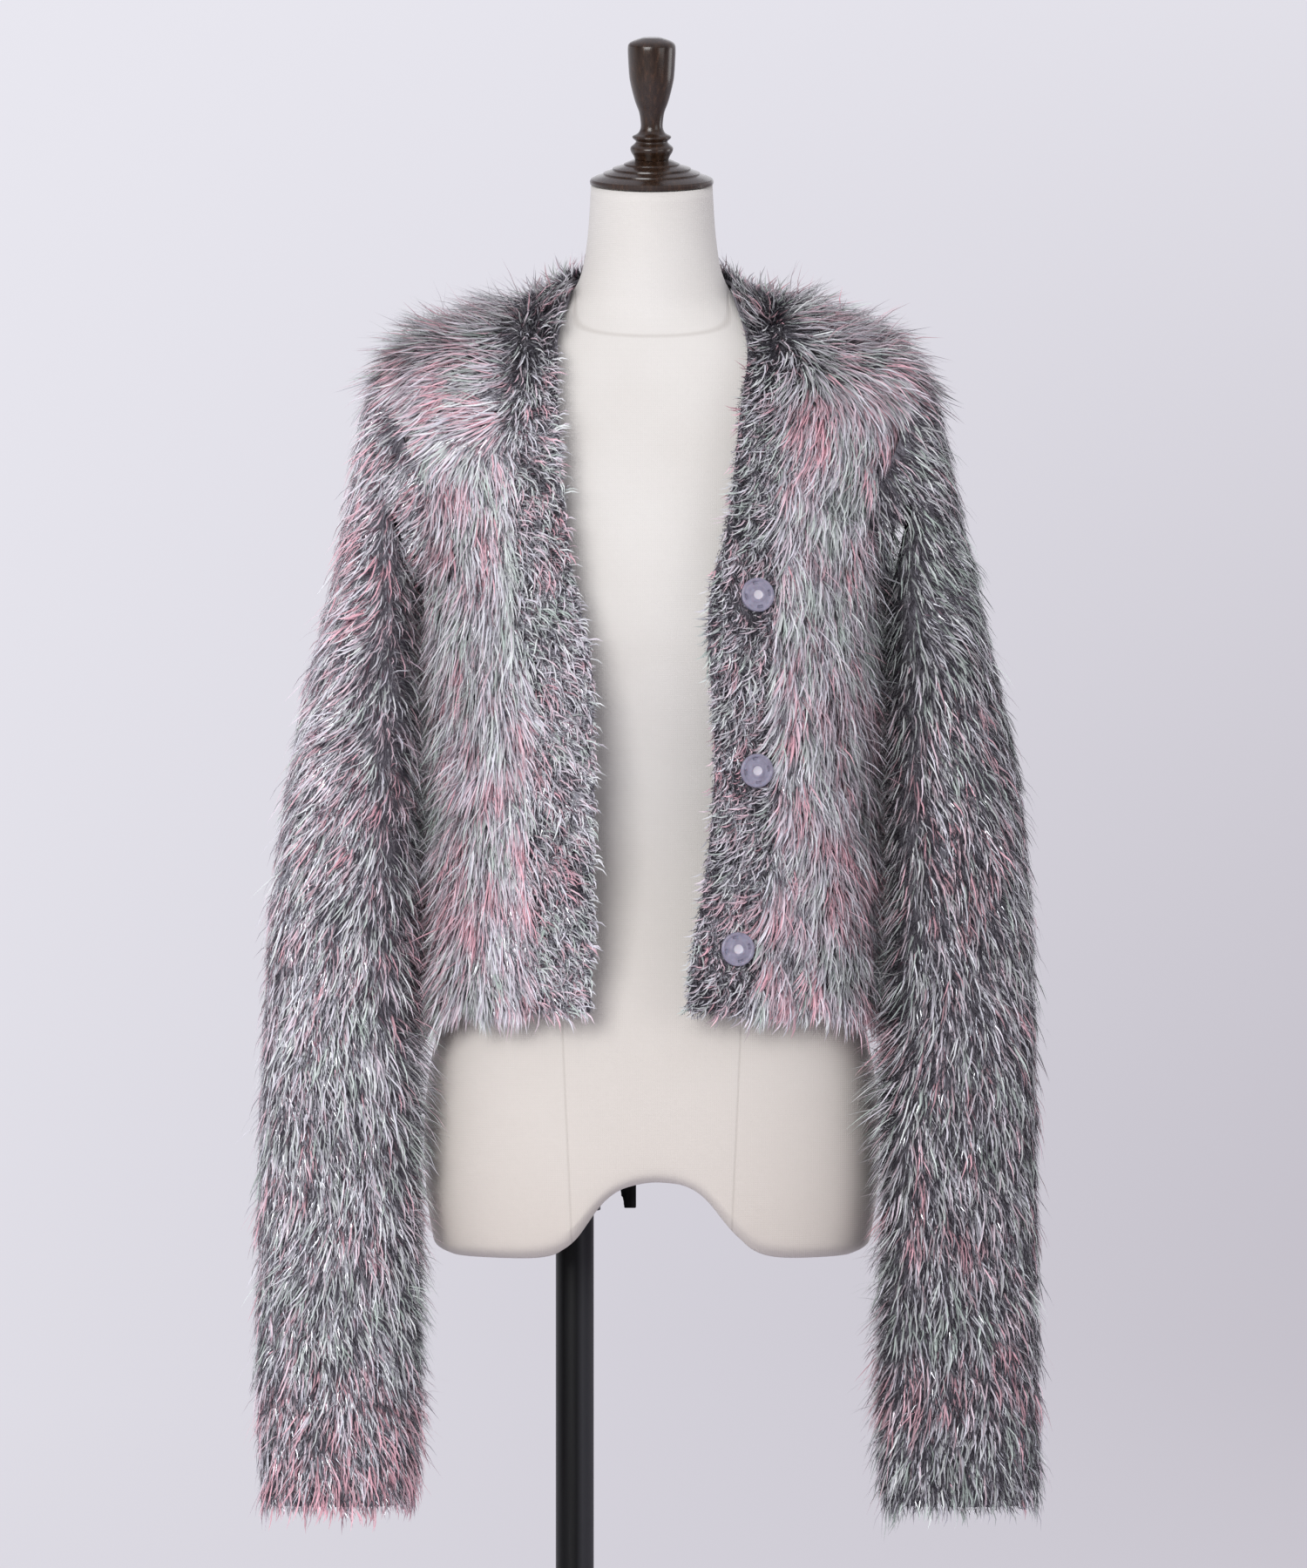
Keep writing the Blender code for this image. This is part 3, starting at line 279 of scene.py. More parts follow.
# The pile as a node group: each yarn's strands are scattered over the knit, laid along the
# nap, turned by soft noise so that they clump, and given a dye and a tone of their own.
def pileGroup():
    group = bpy.data.node_groups.new("pile", "GeometryNodeTree")
    add = partial(addNode, group)
    sockets = (
        ("Knit", "Geometry"), ("Feathers per m2", "Float"), ("Films per m2", "Float"),
        ("Feather strand", "Object"), ("Film strand", "Object"), ("Feather yarn", "Material"),
        ("Film thread", "Material"), ("Clump turn", "Float"), ("Stray turn", "Float"), ("Seed", "Int"),
    )
    for name, kind in sockets:
        group.interface.new_socket(name=name, in_out="INPUT", socket_type="NodeSocket" + kind)
    group.interface.new_socket(name="Pile", in_out="OUTPUT", socket_type="NodeSocketGeometry")
    given = add("NodeGroupInput").outputs
    reads = {}
    for name in ("flow", "thick", "reach", "tintBase", "rise", "dull"):
        kind = "FLOAT_VECTOR" if name == "flow" else "FLOAT"
        reads[name] = add("GeometryNodeInputNamedAttribute", {"Name": name}, data_type=kind)
    # locks about 12 mm and 40 mm wide turn together
    fine = add("TexNoise", {"Scale": 75.0, "Detail": 1.0})
    broad = add("TexNoise", {"Scale": 24.0, "Detail": 1.0})
    clump = add("Math/ADD", fine, broad)
    clump = add("Math/SUBTRACT", clump, 1.0)
    clump = add("Math/MULTIPLY", clump, given["Clump turn"])
    lift = add("TexNoise", {"Scale": 55.0, "Detail": 0.0})
    lift = add("Math/SUBTRACT", lift, 0.5)
    lift = add("Math/MULTIPLY_ADD", lift, 0.8, reads["rise"])
    strayLift = add("Math/MULTIPLY_ADD", reads["rise"], 1.1, 0.5)
    # locks of one dye are about 7 mm wide and 30 mm long
    place = add("GeometryNodeInputPosition")
    drawn = add("VectorMath/MULTIPLY", place, (140.0, 140.0, 34.0))
    lock = add("TexNoise", {"Scale": 1.0, "Detail": 1.0, "Vector": drawn})
    lock = add("Math/SUBTRACT", lock, 0.5)
    lock = add("Math/MULTIPLY_ADD", lock, 2.3, reads["tintBase"])
    # between the locks, 5 mm apart, the strands are shorter, and their tone is painted darker as shade in the
    # gaps
    tuft = add("TexNoise", {"Scale": 1.5, "Detail": 0.0, "Vector": drawn})
    tuft = add("MapRange", tuft, {"From Min": 0.36, "From Max": 0.54, "To Min": 0.42, "To Max": 1.0})
    tip = add("Math/MULTIPLY_ADD", tuft, 0.4, 0.64)
    joined = add("GeometryNodeJoinGeometry")
    # each yarn's sockets, its step of the seed and how loosely it strays
    yarns = (
        ("Films per m2", "Film strand", "Film thread", 0, 1.6),
        ("Feathers per m2", "Feather strand", "Feather yarn", 20, 1.0),
    )
    for countName, strandName, materialName, shift, loose in yarns:
        seed = add("Math/ADD", given["Seed"], shift)
        draws = {}
        for name, (step, low, high) in strandDraws.items():
            ownSeed = add("Math/ADD", seed, step)
            values = {"Seed": ownSeed, 2: low, 3: high}
            draws[name] = add("FunctionNodeRandomValue", values, data_type="FLOAT").outputs[1]
        count = add("Math/MULTIPLY", given[countName], reads["thick"])
        values = {"Mesh": given["Knit"], "Density": count, "Seed": seed}
        points = add("GeometryNodeDistributePointsOnFaces", values)
        values = {"Primary Axis": points.outputs["Normal"], "Secondary Axis": reads["flow"]}
        laid = add("FunctionNodeAxesToRotation", values, primary_axis="Z", secondary_axis="Y")
        yaw = add("Math/MULTIPLY", draws["stray"], given["Stray turn"])
        yaw = add("Math/MULTIPLY_ADD", yaw, loose, clump)
        # most strands lie low, and a few stray ones stand up
        pitch = add("Math/POWER", draws["stand"], 7.0)
        pitch = add("Math/MULTIPLY_ADD", pitch, strayLift, lift)
        angles = add("CombineXYZ", pitch, draws["roll"], yaw)
        turn = add("FunctionNodeEulerToRotation", angles)
        turned = add("FunctionNodeRotateRotation", laid, turn, rotation_space="LOCAL")
        size = add("Math/MULTIPLY", draws["size"], reads["reach"])
        size = add("Math/MULTIPLY", size, tip)
        tall = add("Math/MULTIPLY_ADD", size, 0.6, 0.4)
        scale = add("CombineXYZ", 1.0, size, tall)
        strand = add("GeometryNodeObjectInfo", {"Object": given[strandName]}).outputs["Geometry"]
        values = {"Points": points, "Instance": strand, "Rotation": turned, "Scale": scale}
        placed = add("GeometryNodeInstanceOnPoints", values)
        tone = add("Math/POWER", draws["tone"], reads["dull"])
        # painted shade: the tone is darker between the locks
        tone = add("Math/MULTIPLY", tone, tuft)
        tint = add("Math/ADD", draws["tint"], lock)
        for name, value in (("tone", tone), ("tint", tint)):
            values = {"Geometry": placed, "Name": name, "Value": value}
            placed = add("GeometryNodeStoreNamedAttribute", values, data_type="FLOAT", domain="INSTANCE")
        real = add("GeometryNodeRealizeInstances", placed)
        finished = add("GeometryNodeSetMaterial", {"Geometry": real, "Material": given[materialName]})
        fillInputs(joined, {0: finished})
    add("NodeGroupOutput", joined)
    return group


pileTree = pileGroup()
featherStrand, filmStrand = strandObject("feather"), strandObject("film")


# ---- the knitted pieces ----
panelWall, bandWall = 0.010, 0.007
hemLevel, cuffLevel = 0.862, 0.526
knitDepths = (0.62, 0.93)  # where the knit lies in the wall, which its pile fills up to 0
wallSlack = 2e-4  # how far from its thickness a wall may measure
armLevel = 1.1  # over it the body and the sleeves turn in towards the shoulders
sleeveRound, bodyRound = 0.047, 0.13  # radii that the stitches are laid round
snapCentres = [sum(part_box(f"snap_left_{number}"), Vector()) / 2 for number in (1, 2, 3)]


# The point inside the body that its outer side faces away from
def bodyCore(point):
    return Vector((0, 0, min(point.z, armLevel)))


# The line down the middle of a sleeve, by height, and the point that its head turns round
sleeveLine = {
    "x": ((0.5, 0.212), (0.9, 0.212), (1.0, 0.207), (1.1, 0.195), (1.3, 0.18)),
    "y": ((0.5, -0.056), (0.88, -0.056), (1.0, -0.032), (1.1, -0.014), (1.3, 0.0)),
    "head": (0.1, 0, 1.22),
    "headReach": 0.185,
    "top": 1.2,
}


def sleeveCore(point):
    side = math.copysign(1, point.x)
    if point.z > armLevel and abs(point.x) < sleeveLine["headReach"]:
        return Vector(sleeveLine["head"]) * Vector((side, 1, 1))
    x, y = (stepThrough(sleeveLine[axis], point.z) for axis in "xy")
    return Vector((side * x, y, min(point.z, sleeveLine["top"])))


# For the points of a wall's solid, the way to each from the point one wall behind it or before it
def waysAcross(bm, wall):
    tree = KDTree(len(bm.verts))
    for vert in bm.verts:
        tree.insert(vert.co, vert.index)
    tree.balance()
    across = {}
    for vert in bm.verts:
        best, bestScore = None, 0.3
        for place, index, distance in tree.find_range(vert.co, wall + wallSlack):
            off = abs(distance - wall)
            if off < wallSlack:
                away = (vert.co - place) / distance
                score = abs(vert.normal.dot(away) - bm.verts[index].normal.dot(away)) - 2000 * off
                if score > bestScore:
                    best, bestScore = index, score
        if best is not None:
            across[vert] = vert.co - bm.verts[best].co
    return across


# The outer side of a cloth wall as quads. Each of its points keeps the way across to the inner side.
# The rims run along the way across; without them the solid falls apart into its two sides.
# Dictionaries keep their order, so the pile is scattered in the same way each run.
def wallSheet(name, nodes, wall, core):
    gathered = bmesh.new()
    depthLayer = gathered.verts.layers.float_vector.new("depth")
    for node in nodes:
        bm = solidOf(node)
        bm.normal_update()
        bm.verts.ensure_lookup_table()
        across = waysAcross(bm, wall)
        flat = {}
        for face in bm.faces:
            if all(v in across and across[v].dot(face.normal) > 0.5 * wall for v in face.verts):
                flat[face] = True
        while flat:
            side, edge = {}, [flat.popitem()[0]]
            while edge:
                face = edge.pop()
                side[face] = True
                for near in [f for e in face.edges for f in e.link_faces if f in flat]:
                    flat.pop(near, None)
                    edge.append(near)
            corners = dict.fromkeys(vert for face in side for vert in face.verts)
            if sum(1 if across[vert].dot(vert.co - core(vert.co)) > 0 else -1 for vert in corners) > 0:
                for vert in corners:
                    corners[vert] = gathered.verts.new(vert.co)
                    corners[vert][depthLayer] = -across[vert]
                for face in side:
                    gathered.faces.new([corners[vert] for vert in face.verts])
        bm.free()
    bmesh.ops.remove_doubles(gathered, verts=gathered.verts, dist=0.0006)
    bmesh.ops.join_triangles(
        gathered, faces=gathered.faces, angle_face_threshold=1.0, angle_shape_threshold=1.6
    )
    return smoothed(meshFrom(gathered, name), 1)


# Points, ways across and faces of a sheet
def sheetArrays(mesh):
    points, depths = np.empty((2, len(mesh.vertices) * 3))
    mesh.vertices.foreach_get("co", points)
    mesh.attributes["depth"].data.foreach_get("vector", depths)
    return points.reshape(-1, 3), depths.reshape(-1, 3), [tuple(face.vertices) for face in mesh.polygons]


# Where a place of the knit lies as wale and course, in metres along each, and how long a course is
def stitchPlace(point, core):
    centre = core(point)
    radius = sleeveRound if abs(centre.x) > 0.05 else bodyRound
    return math.atan2(point.x - centre.x, centre.y - point.y) * radius, point.z, 2 * math.pi * radius


# The knit itself: a closed shell in the inner part of the wall
def knitShell(name, sheet, core):
    points, depths, faces = sheetArrays(sheet)
    count = len(points)
    placed = [Vector(p) for p in np.vstack([points + depths * share for share in knitDepths])]
    edges = {(face[i], face[(i + 1) % len(face)]) for face in faces for i in range(len(face))}
    rims = [(b, a, a + count, b + count) for a, b in edges if (b, a) not in edges]
    backs = [tuple(i + count for i in reversed(face)) for face in faces]
    mesh = bpy.data.meshes.new(name)
    mesh.from_pydata(placed, [], faces + backs + rims)
    layer = mesh.uv_layers.new(name="stitch")
    for face in mesh.polygons:
        first = None
        for loop in face.loop_indices:
            wale, course, around = stitchPlace(placed[mesh.loops[loop].vertex_index], core)
            first = wale if first is None else first
            wale -= around * round((wale - first) / around)
            layer.data[loop].uv = (wale, course)
    outside = [1.0] * count + [0.0] * count
    mesh.attributes.new("outside", "FLOAT", "POINT").data.foreach_set("value", outside)
    return addObject(name, shadeRound(mesh, 50), knitMaterial)


# Which way the pile lies on the fronts and their bands, seen from the front:
# (x, height, aside, down) where the photograph shows it, the places in millimetres
napGuides = {
    "front_right": (
        (-89, 1327, -1, 0.25), (-137, 1309, -1, 0.35), (-173, 1297, -1, 0.5), (-113, 1279, -1, 0.2),
        (-149, 1273, -1, 0.2), (-95, 1231, 0.15, 1), (-137, 1219, -0.15, 1), (-155, 1183, -0.45, 1),
        (-113, 1183, 0.05, 1), (-86, 1171, 0.4, 1), (-149, 1123, -0.3, 1), (-113, 1099, 0, 1),
        (-83, 1075, 0.4, 1), (-149, 1015, -0.15, 1), (-113, 985, 0.1, 1), (-80, 955, 0.3, 1),
        (-155, 919, -0.35, 1), (-113, 895, 0, 1), (-80, 877, 0.25, 1),
    ),
    "front_left": (
        (91, 1333, 0.4, -0.3), (121, 1327, 1, 0), (88, 1297, -0.7, 0.8), (127, 1306, 0.8, 0.4),
        (157, 1297, 1, 0.4), (91, 1255, -0.6, 0.9), (127, 1267, -0.35, 1), (151, 1243, -0.3, 1),
        (91, 1207, -0.4, 1), (127, 1195, 0, 1), (151, 1171, 0.15, 1), (88, 1147, -0.15, 1),
        (115, 1159, 0.4, 1), (139, 1123, 0.2, 1), (91, 1087, -0.25, 1), (127, 1063, 0.2, 1),
        (85, 1015, -0.45, 1), (121, 1015, 0, 1), (151, 997, 0.5, 1), (85, 955, -0.4, 1), (121, 931, 0, 1),
        (157, 931, 0.6, 1), (85, 883, -0.3, 1), (127, 877, 0.05, 1),
    ),
    "band_right": (
        (-60, 1352, 0.5, -0.5), (-70, 1326, 0.9, -0.15), (-74, 1297, 1, 0.15), (-71, 1255, 1, 0.45),
        (-65, 1195, 0.9, 0.7), (-59, 1135, 0.7, 1), (-50, 1075, 0.6, 1), (-48, 985, 0.7, 1),
        (-48, 895, 0.6, 1), (-92, 1315, -0.9, 0.4), (-90, 1270, -0.7, 0.7), (-87, 1225, 0.1, 1),
    ),
    "band_left": (
        (58, 1352, -0.5, -0.6), (66, 1330, -0.9, -0.15), (67, 1308, -1, 0.2), (67, 1267, -1, 0.3),
        (64, 1219, -1, 0.6), (61, 1171, -0.8, 0.8), (61, 1123, -0.9, 0.6), (61, 1075, -0.8, 0.9),
        (58, 985, -0.9, 0.7), (52, 895, -0.8, 0.7), (88, 1325, 0.8, 0.2), (90, 1280, -0.1, 1),
        (88, 1235, -0.5, 1),
    ),
}
# How far the sleeves' pile slants outwards for each metre down, by height
sleeveSlants = {
    -1: ((0.80, 0.05), (0.88, 0.3), (0.95, 0.62), (1.05, 0.88), (1.15, 1.05), (1.25, 1.3)),
    1: ((0.80, 0.02), (0.90, 0.12), (1.0, 0.3), (1.1, 0.45), (1.2, 0.65), (1.28, 1.1)),
}


def guidedNap(name):
    guides = np.array(napGuides[name]) / (1000, 1000, 1, 1)

    def nap(point):
        squares = (guides[:, 0] - point.x) ** 2 + (guides[:, 1] - point.z) ** 2
        shares = np.exp(-(squares - squares.min()) / (2 * 0.016**2))
        aside, down = (guides[:, 2:] * shares[:, None]).sum(0) / shares.sum()
        return Vector((aside, -0.1, -down))

    return nap


# The nap on the back: down, and outwards over the shoulders
def backNap(point):
    side = math.copysign(1, point.x)
    over = smoothStep(1.225, 1.315, point.z)
    away = min(abs(point.x) / 0.05, 1.0)
    return Vector((side * (0.06 + 1.25 * over) * away, 0.5 * over, -1 + 0.62 * over))


# Below the hem it fans out to both sides, over the form's edge too
def sleeveNap(point):
    side = math.copysign(1, point.x)
    outward = min(max((point.x - sleeveCore(point).x) * side / 0.045, -1.0), 1.0)
    fan = (0.24 + 0.18 * smoothStep(0.77, 0.83, point.z)) * outward * smoothStep(0.92, 0.85, point.z)
    return Vector((side * (stepThrough(sleeveSlants[side], point.z) + fan), 0, -1))


# The neck band's nap: up over its edge and back
def neckNap(point):
    return Vector((0.4 * math.copysign(1, point.x), 0.3, 0.9))


# How long the strands are near the edge that they hang over, so that their tips end unevenly just past it
def hemReach(level, full):
    def reach(point):
        longer = 0.017 + 0.018 * noise.noise(point * 60)
        if level == hemLevel:
            longer += 0.012 * smoothStep(0.12, 0.15, abs(point.x))
        return min(full, max(0.44, (point.z - level + longer) / 0.034))

    return reach


# The same for a band's edge at the front opening, found as the sheet's rim that faces the middle
def openingReach(sheet, full):
    points, depths, faces = sheetArrays(sheet)
    points = points + depths * knitDepths[0]
    beside = {}
    for face in faces:
        for a, b in zip(face, face[1:] + face[:1]):
            beside.setdefault(frozenset((a, b)), []).append(points[list(face)].mean(0))
    rims = KDTree(len(beside))
    for edge, middles in beside.items():
        place = points[list(edge)].mean(0)
        if len(middles) == 1 and (place - middles[0])[0] * math.copysign(1, place[0]) < -0.0005:
            rims.insert(Vector(place), 0)
    rims.balance()
    return lambda point: min(full, max(0.3, (rims.find(point)[2] + 0.006) / 0.031))


# The dye by height, uneven round the piece. Low is pink, the middle is pale and high is sage.
courseDyes = {
    "body": (
        (0.86, 0.42), (0.9, 0.5), (0.95, 0.36), (1, 0.52), (1.06, 0.4), (1.12, 0.55), (1.17, 0.4),
        (1.22, 0.52), (1.27, 0.38), (1.33, 0.5),
    ),
    "sleeveRight": (
        (0.52, 0.12), (0.6, 0.16), (0.62, 0.45), (0.64, 0.8), (0.67, 0.72), (0.71, 0.48), (0.78, 0.56),
        (0.86, 0.42), (0.93, 0.52), (1, 0.42), (1.07, 0.45), (1.13, 0.3), (1.18, 0.22), (1.22, 0.45),
        (1.27, 0.5),
    ),
    "sleeveLeft": (
        (0.52, 0.66), (0.575, 0.66), (0.6, 0.18), (0.63, 0.24), (0.655, 0.75), (0.71, 0.42), (0.76, 0.58),
        (0.84, 0.46), (0.92, 0.55), (1, 0.4), (1.08, 0.55), (1.17, 0.78), (1.25, 0.5),
    ),
}


# How the pile changes over the garment. A pair holds the heights, in metres, where a change
# begins and ends. A noise is (waves in a metre, strength).
pileLook = {
    "wander": ((11, 0.22), (30, 0.18)), "tousled": (1.2, 1.3), "tousledMore": 0.7,
    "snapRadius": 0.0115, "snapFade": 0.0105, "snapLength": 0.2,
    "dyeWobble": (14, 0.03), "dyePatches": (17, 0.2), "brightPatches": (13, 0.35),
    "facing": (0.5, 0.85),  # how much a side has to turn to the other one, as a share
    "armpit": (1.25, 1.18), "hem": (0.84, 0.9), "cuff": (0.53, 0.6),
    "form": (0.74, 0.8), "overHem": (0.9, 0.86),
    "creaseRise": {True: 0.5, False: 0.3},  # on a sleeve or on the body
    # painted shade in the crease between sleeve and body
    "standingPaintedShade": 0.2, "creasePaintedShade": 0.25, "belowRise": 0.25, "belowLonger": 0.35,
    "shoulder": (1.26, 1.32), "shoulderRise": 0.32, "shoulderRagged": (45, 0.9),
    "shoulderLonger": 0.15, "shoulderDarker": 0.82, "paler": (0.75, 0.95),
}


def scatterPile(name, sheet, reachAt, piece, seed):
    look = pileLook

    def between(key):
        return smoothStep(*look[key], place.z)

    def patches(key, shift=(0, 0, 0)):
        waves, strength = look[key]
        return strength * noise.noise(place * waves + Vector(shift))

    points, depths, faces = sheetArrays(sheet)
    mesh = bpy.data.meshes.new(name)
    mesh.from_pydata([Vector(p) for p in points + depths * knitDepths[0]], [], faces)
    mesh.update()
    onSleeve = piece["core"] is sleeveCore
    values = {"flow": [], "thick": [], "reach": [], "tintBase": [], "rise": [], "dull": []}
    for vert in mesh.vertices:
        place, normal = vert.co, vert.normal
        wander = Vector()
        for waves, strength in look["wander"]:
            wander += noise.noise_vector(place * waves) * strength
        flow = piece["nap"](place).normalized() + wander * (1 + look["tousledMore"] * between("tousled"))
        flow = flow - normal * flow.dot(normal)
        values["flow"].extend(flow.normalized())
        # no strands under a snap, and short ones round it
        clear = min((place - centre).length for centre in snapCentres) - look["snapRadius"]
        values["thick"].append(0.0 if clear < 0 else 1.0)
        reach = reachAt(place)
        if clear < look["snapFade"]:
            reach = min(reach, look["snapLength"] * (1 + max(0.0, clear) / look["snapFade"]))
        tint = stepThrough(courseDyes[piece["dye"]], place.z + patches("dyeWobble"))
        values["tintBase"].append(tint + patches("dyePatches", (seed, 0, 0)))
        # where sleeve and body face each other, the pile stands out into the dark crease between them
        facing = normal.x * math.copysign(1, place.x) * (-1 if onSleeve else 1)
        facing = smoothStep(*look["facing"], facing) * between("armpit")
        crease = facing * between("hem")
        standing = facing * between("cuff") if onSleeve else crease
        below = standing * between("form") * between("overHem")
        shoulder = between("shoulder")
        ragged = max(0.0, look["shoulderRise"] + patches("shoulderRagged"))
        rise = piece["rise"] + shoulder * ragged + look["creaseRise"][onSleeve] * standing
        values["rise"].append(rise + look["belowRise"] * below)
        values["reach"].append(reach * (1 + look["belowLonger"] * below + look["shoulderLonger"] * shoulder))
        # bright is partly the yarn's own and partly painted light: it is lower on the pieces on the wearer's
        # left, as painted shade
        bright = piece["bright"] * (1 - look["shoulderDarker"] * shoulder)
        # painted shade: darker where the pile stands out into the crease between sleeve and body
        bright *= 1 - look["standingPaintedShade"] * standing - look["creasePaintedShade"] * crease
        bright *= 1 + piece["paler"] * between("paler")
        values["dull"].append(1 / (bright * (1 + patches("brightPatches", (0, seed, 0)))))
    for attribute, column in values.items():
        kind, item = ("FLOAT_VECTOR", "vector") if attribute == "flow" else ("FLOAT", "value")
        mesh.attributes.new(attribute, kind, "POINT").data.foreach_set(item, column)
    area = sum(face.area for face in mesh.polygons)
    given = {
        "Feathers per m2": piece["counts"][0] / area, "Films per m2": piece["counts"][1] / area,
        "Feather strand": featherStrand, "Film strand": filmStrand,
        "Feather yarn": featherMaterial, "Film thread": filmMaterial,
        "Clump turn": piece["turns"][0], "Stray turn": piece["turns"][1], "Seed": seed,
    }
    sockets = {item.name: item.identifier for item in pileTree.interface.items_tree}
    byIdentifier = {sockets[key]: value for key, value in given.items()}
    made = modified(mesh, "NODES", {"node_group": pileTree}, byIdentifier)
    made.name = name
    print(name, len(made.polygons), "faces")
    return addObject(name, made)


# Each piece: the solids it stands for, its wall, nap, strand counts (feathers, films), turns (clump, stray),
# brightness, longest strands and cut. The brightness is partly the yarn's own and partly painted light and
# shade: the pieces on the wearer's left are painted darker than those on the wearer's right, the side that
# the key lamp lights. cut is the flat width and length, and share is how much of that rectangle the cut
# fills.
common = dict(core=bodyCore, dye="body", rise=0.0, paler=0.0, rests=["form"])
panel = dict(common, wall=panelWall, length=1.0)
front = dict(panel, counts=(15000, 26000), turns=(1.0, 0.27), cut=(0.19, 0.49), share=0.66)
sleeve = dict(
    panel, core=sleeveCore, nap=sleeveNap, counts=(12500, 64000), turns=(0.8, 0.24), length=0.86,
    cut=(0.34, 0.76), share=0.82,
)
edging = dict(common, wall=bandWall, turns=(1.5, 0.6), rise=0.16, length=0.62)
band = dict(edging, counts=(2400, 24000), cut=(0.046, 0.53), share=0.92)
garment = {
    "back": dict(
        panel, nodes=["body_back"], nap=backNap, counts=(20000, 33000), turns=(0.9, 0.2), bright=1.1,
        cut=(0.50, 0.50), share=0.84,
    ),
    "front_right": dict(front, nodes=["front_right"], nap=guidedNap("front_right"), bright=3.4),
    "front_left": dict(front, nodes=["front_left"], nap=guidedNap("front_left"), bright=2.2),
    "sleeve_right": dict(
        sleeve, nodes=["sleeve_right_head", "sleeve_right_elbow", "sleeve_right_cuff"], dye="sleeveRight",
        bright=2.1, paler=1.6, rests=["back_knit", "front_right_knit"],
    ),
    "sleeve_left": dict(
        sleeve, nodes=["sleeve_left_head", "sleeve_left_elbow", "sleeve_left_cuff"], dye="sleeveLeft",
        bright=0.5, rests=["back_knit", "front_left_knit"],
    ),
    "band_right": dict(band, nodes=["band_right"], nap=guidedNap("band_right"), bright=2.5),
    "band_left": dict(band, nodes=["band_left"], nap=guidedNap("band_left"), bright=1.6),
    "neck_band": dict(
        edging, nodes=["band_neck"], nap=neckNap, counts=(900, 9000), bright=1.8, cut=(0.26, 0.032), share=0.9
    ),
}


def buildGarment():
    for seed, (name, piece) in enumerate(garment.items(), 1):
        onSleeve, onPanel = piece["core"] is sleeveCore, piece["wall"] == panelWall
        sheet = wallSheet(name, piece["nodes"], piece["wall"], piece["core"])
        knit = addPiece(knitShell(name + "_knit", sheet, piece["core"]), piece["nodes"])
        if onPanel:
            reachAt = hemReach(cuffLevel if onSleeve else hemLevel, piece["length"])
        elif name == "neck_band":
            reachAt = lambda point: piece["length"]
        else:
            reachAt = openingReach(sheet, piece["length"])
        pile = addPiece(scatterPile(name + "_pile", sheet, reachAt, piece, seed))


buildGarment()
print("cardigan built")


# ---- form and stand ----
# Linen stretched over the form: a fine plain weave whose threads, 0.7 mm apart, are drawn
# 1.4 mm apart so that they hold in the picture, with faint seams and slightly uneven cream.
def creamLinen(add):
    place = add("TexCoord").outputs["Object"]
    x, y, z = add("SeparateXYZ", place).outputs
    threads = []
    for axis in "XZ":
        wave = add(
            "TexWave", {"Scale": 220.0, "Distortion": 0.6, "Detail": 1.5, "Vector": place},
            bands_direction=axis,
        )
        threads.append(wave.outputs["Fac"])
    weave = add("Math/MULTIPLY", threads[0], threads[1])
    patches = add("TexNoise", {"Scale": 9.0, "Detail": 2.0, "Vector": place})
    # neck seam: it dips at the front and rises gently to the back
    steep = add("Math/MULTIPLY_ADD", y, 0.83, 1.3616)
    gentle = add("Math/MULTIPLY_ADD", y, 0.3, 1.3563)
    level = add("Math/SMOOTH_MIN", steep, gentle, 0.006)
    neck = add("Math/SUBTRACT", z, level)
    neck = add("Math/ABSOLUTE", neck)
    # princess seams on both fronts and backs
    line = add("Math/MULTIPLY_ADD", z, 0.045, 0.0222)
    aside = add("Math/ABSOLUTE", x)
    princess = add("Math/SUBTRACT", aside, line)
    princess = add("Math/ABSOLUTE", princess)
    below = add("Math/GREATER_THAN", z, 1.36)
    princess = add("Math/ADD", princess, below)
    sides = add("Math/ABSOLUTE", y)
    near = add("Math/MINIMUM", neck, princess)
    near = add("Math/MINIMUM", near, sides)
    seam = add("MapRange", near, {"From Min": 0.0002, "From Max": 0.0011, "To Min": 1.0, "To Max": 0.0})
    cream = add("ValToRGB", patches, stops=((0.3, "#dedad4"), (0.7, "#e5e2dd")))
    # the cream turns darker and warmer towards the bottom
    lowerShare = add("MapRange", z, {"From Min": 0.70, "From Max": 1.02, "To Min": 0.85, "To Max": 0.0})
    lowerToned = add("Mix", {0: lowerShare, 6: cream, 7: linear("#d5ccc2")}, data_type="RGBA")
    dark = add("Math/MULTIPLY", seam, 0.28)
    seamed = add("Mix", {0: dark, 6: lowerToned.outputs[2], 7: linear("#a79f95")}, data_type="RGBA")
    threadShade = add("MapRange", weave, {"To Min": 0.965, "To Max": 1.02})
    colour = add("VectorMath/SCALE", seamed.outputs[2], {"Scale": threadShade})
    height = add("Math/MULTIPLY_ADD", seam, -2.0, weave)
    bump = add("Bump", {"Strength": 0.35, "Distance": 0.00025, "Height": height})
    return {"Base Color": colour, "Normal": bump, "Roughness": 0.82, "Sheen Weight": 0.15}


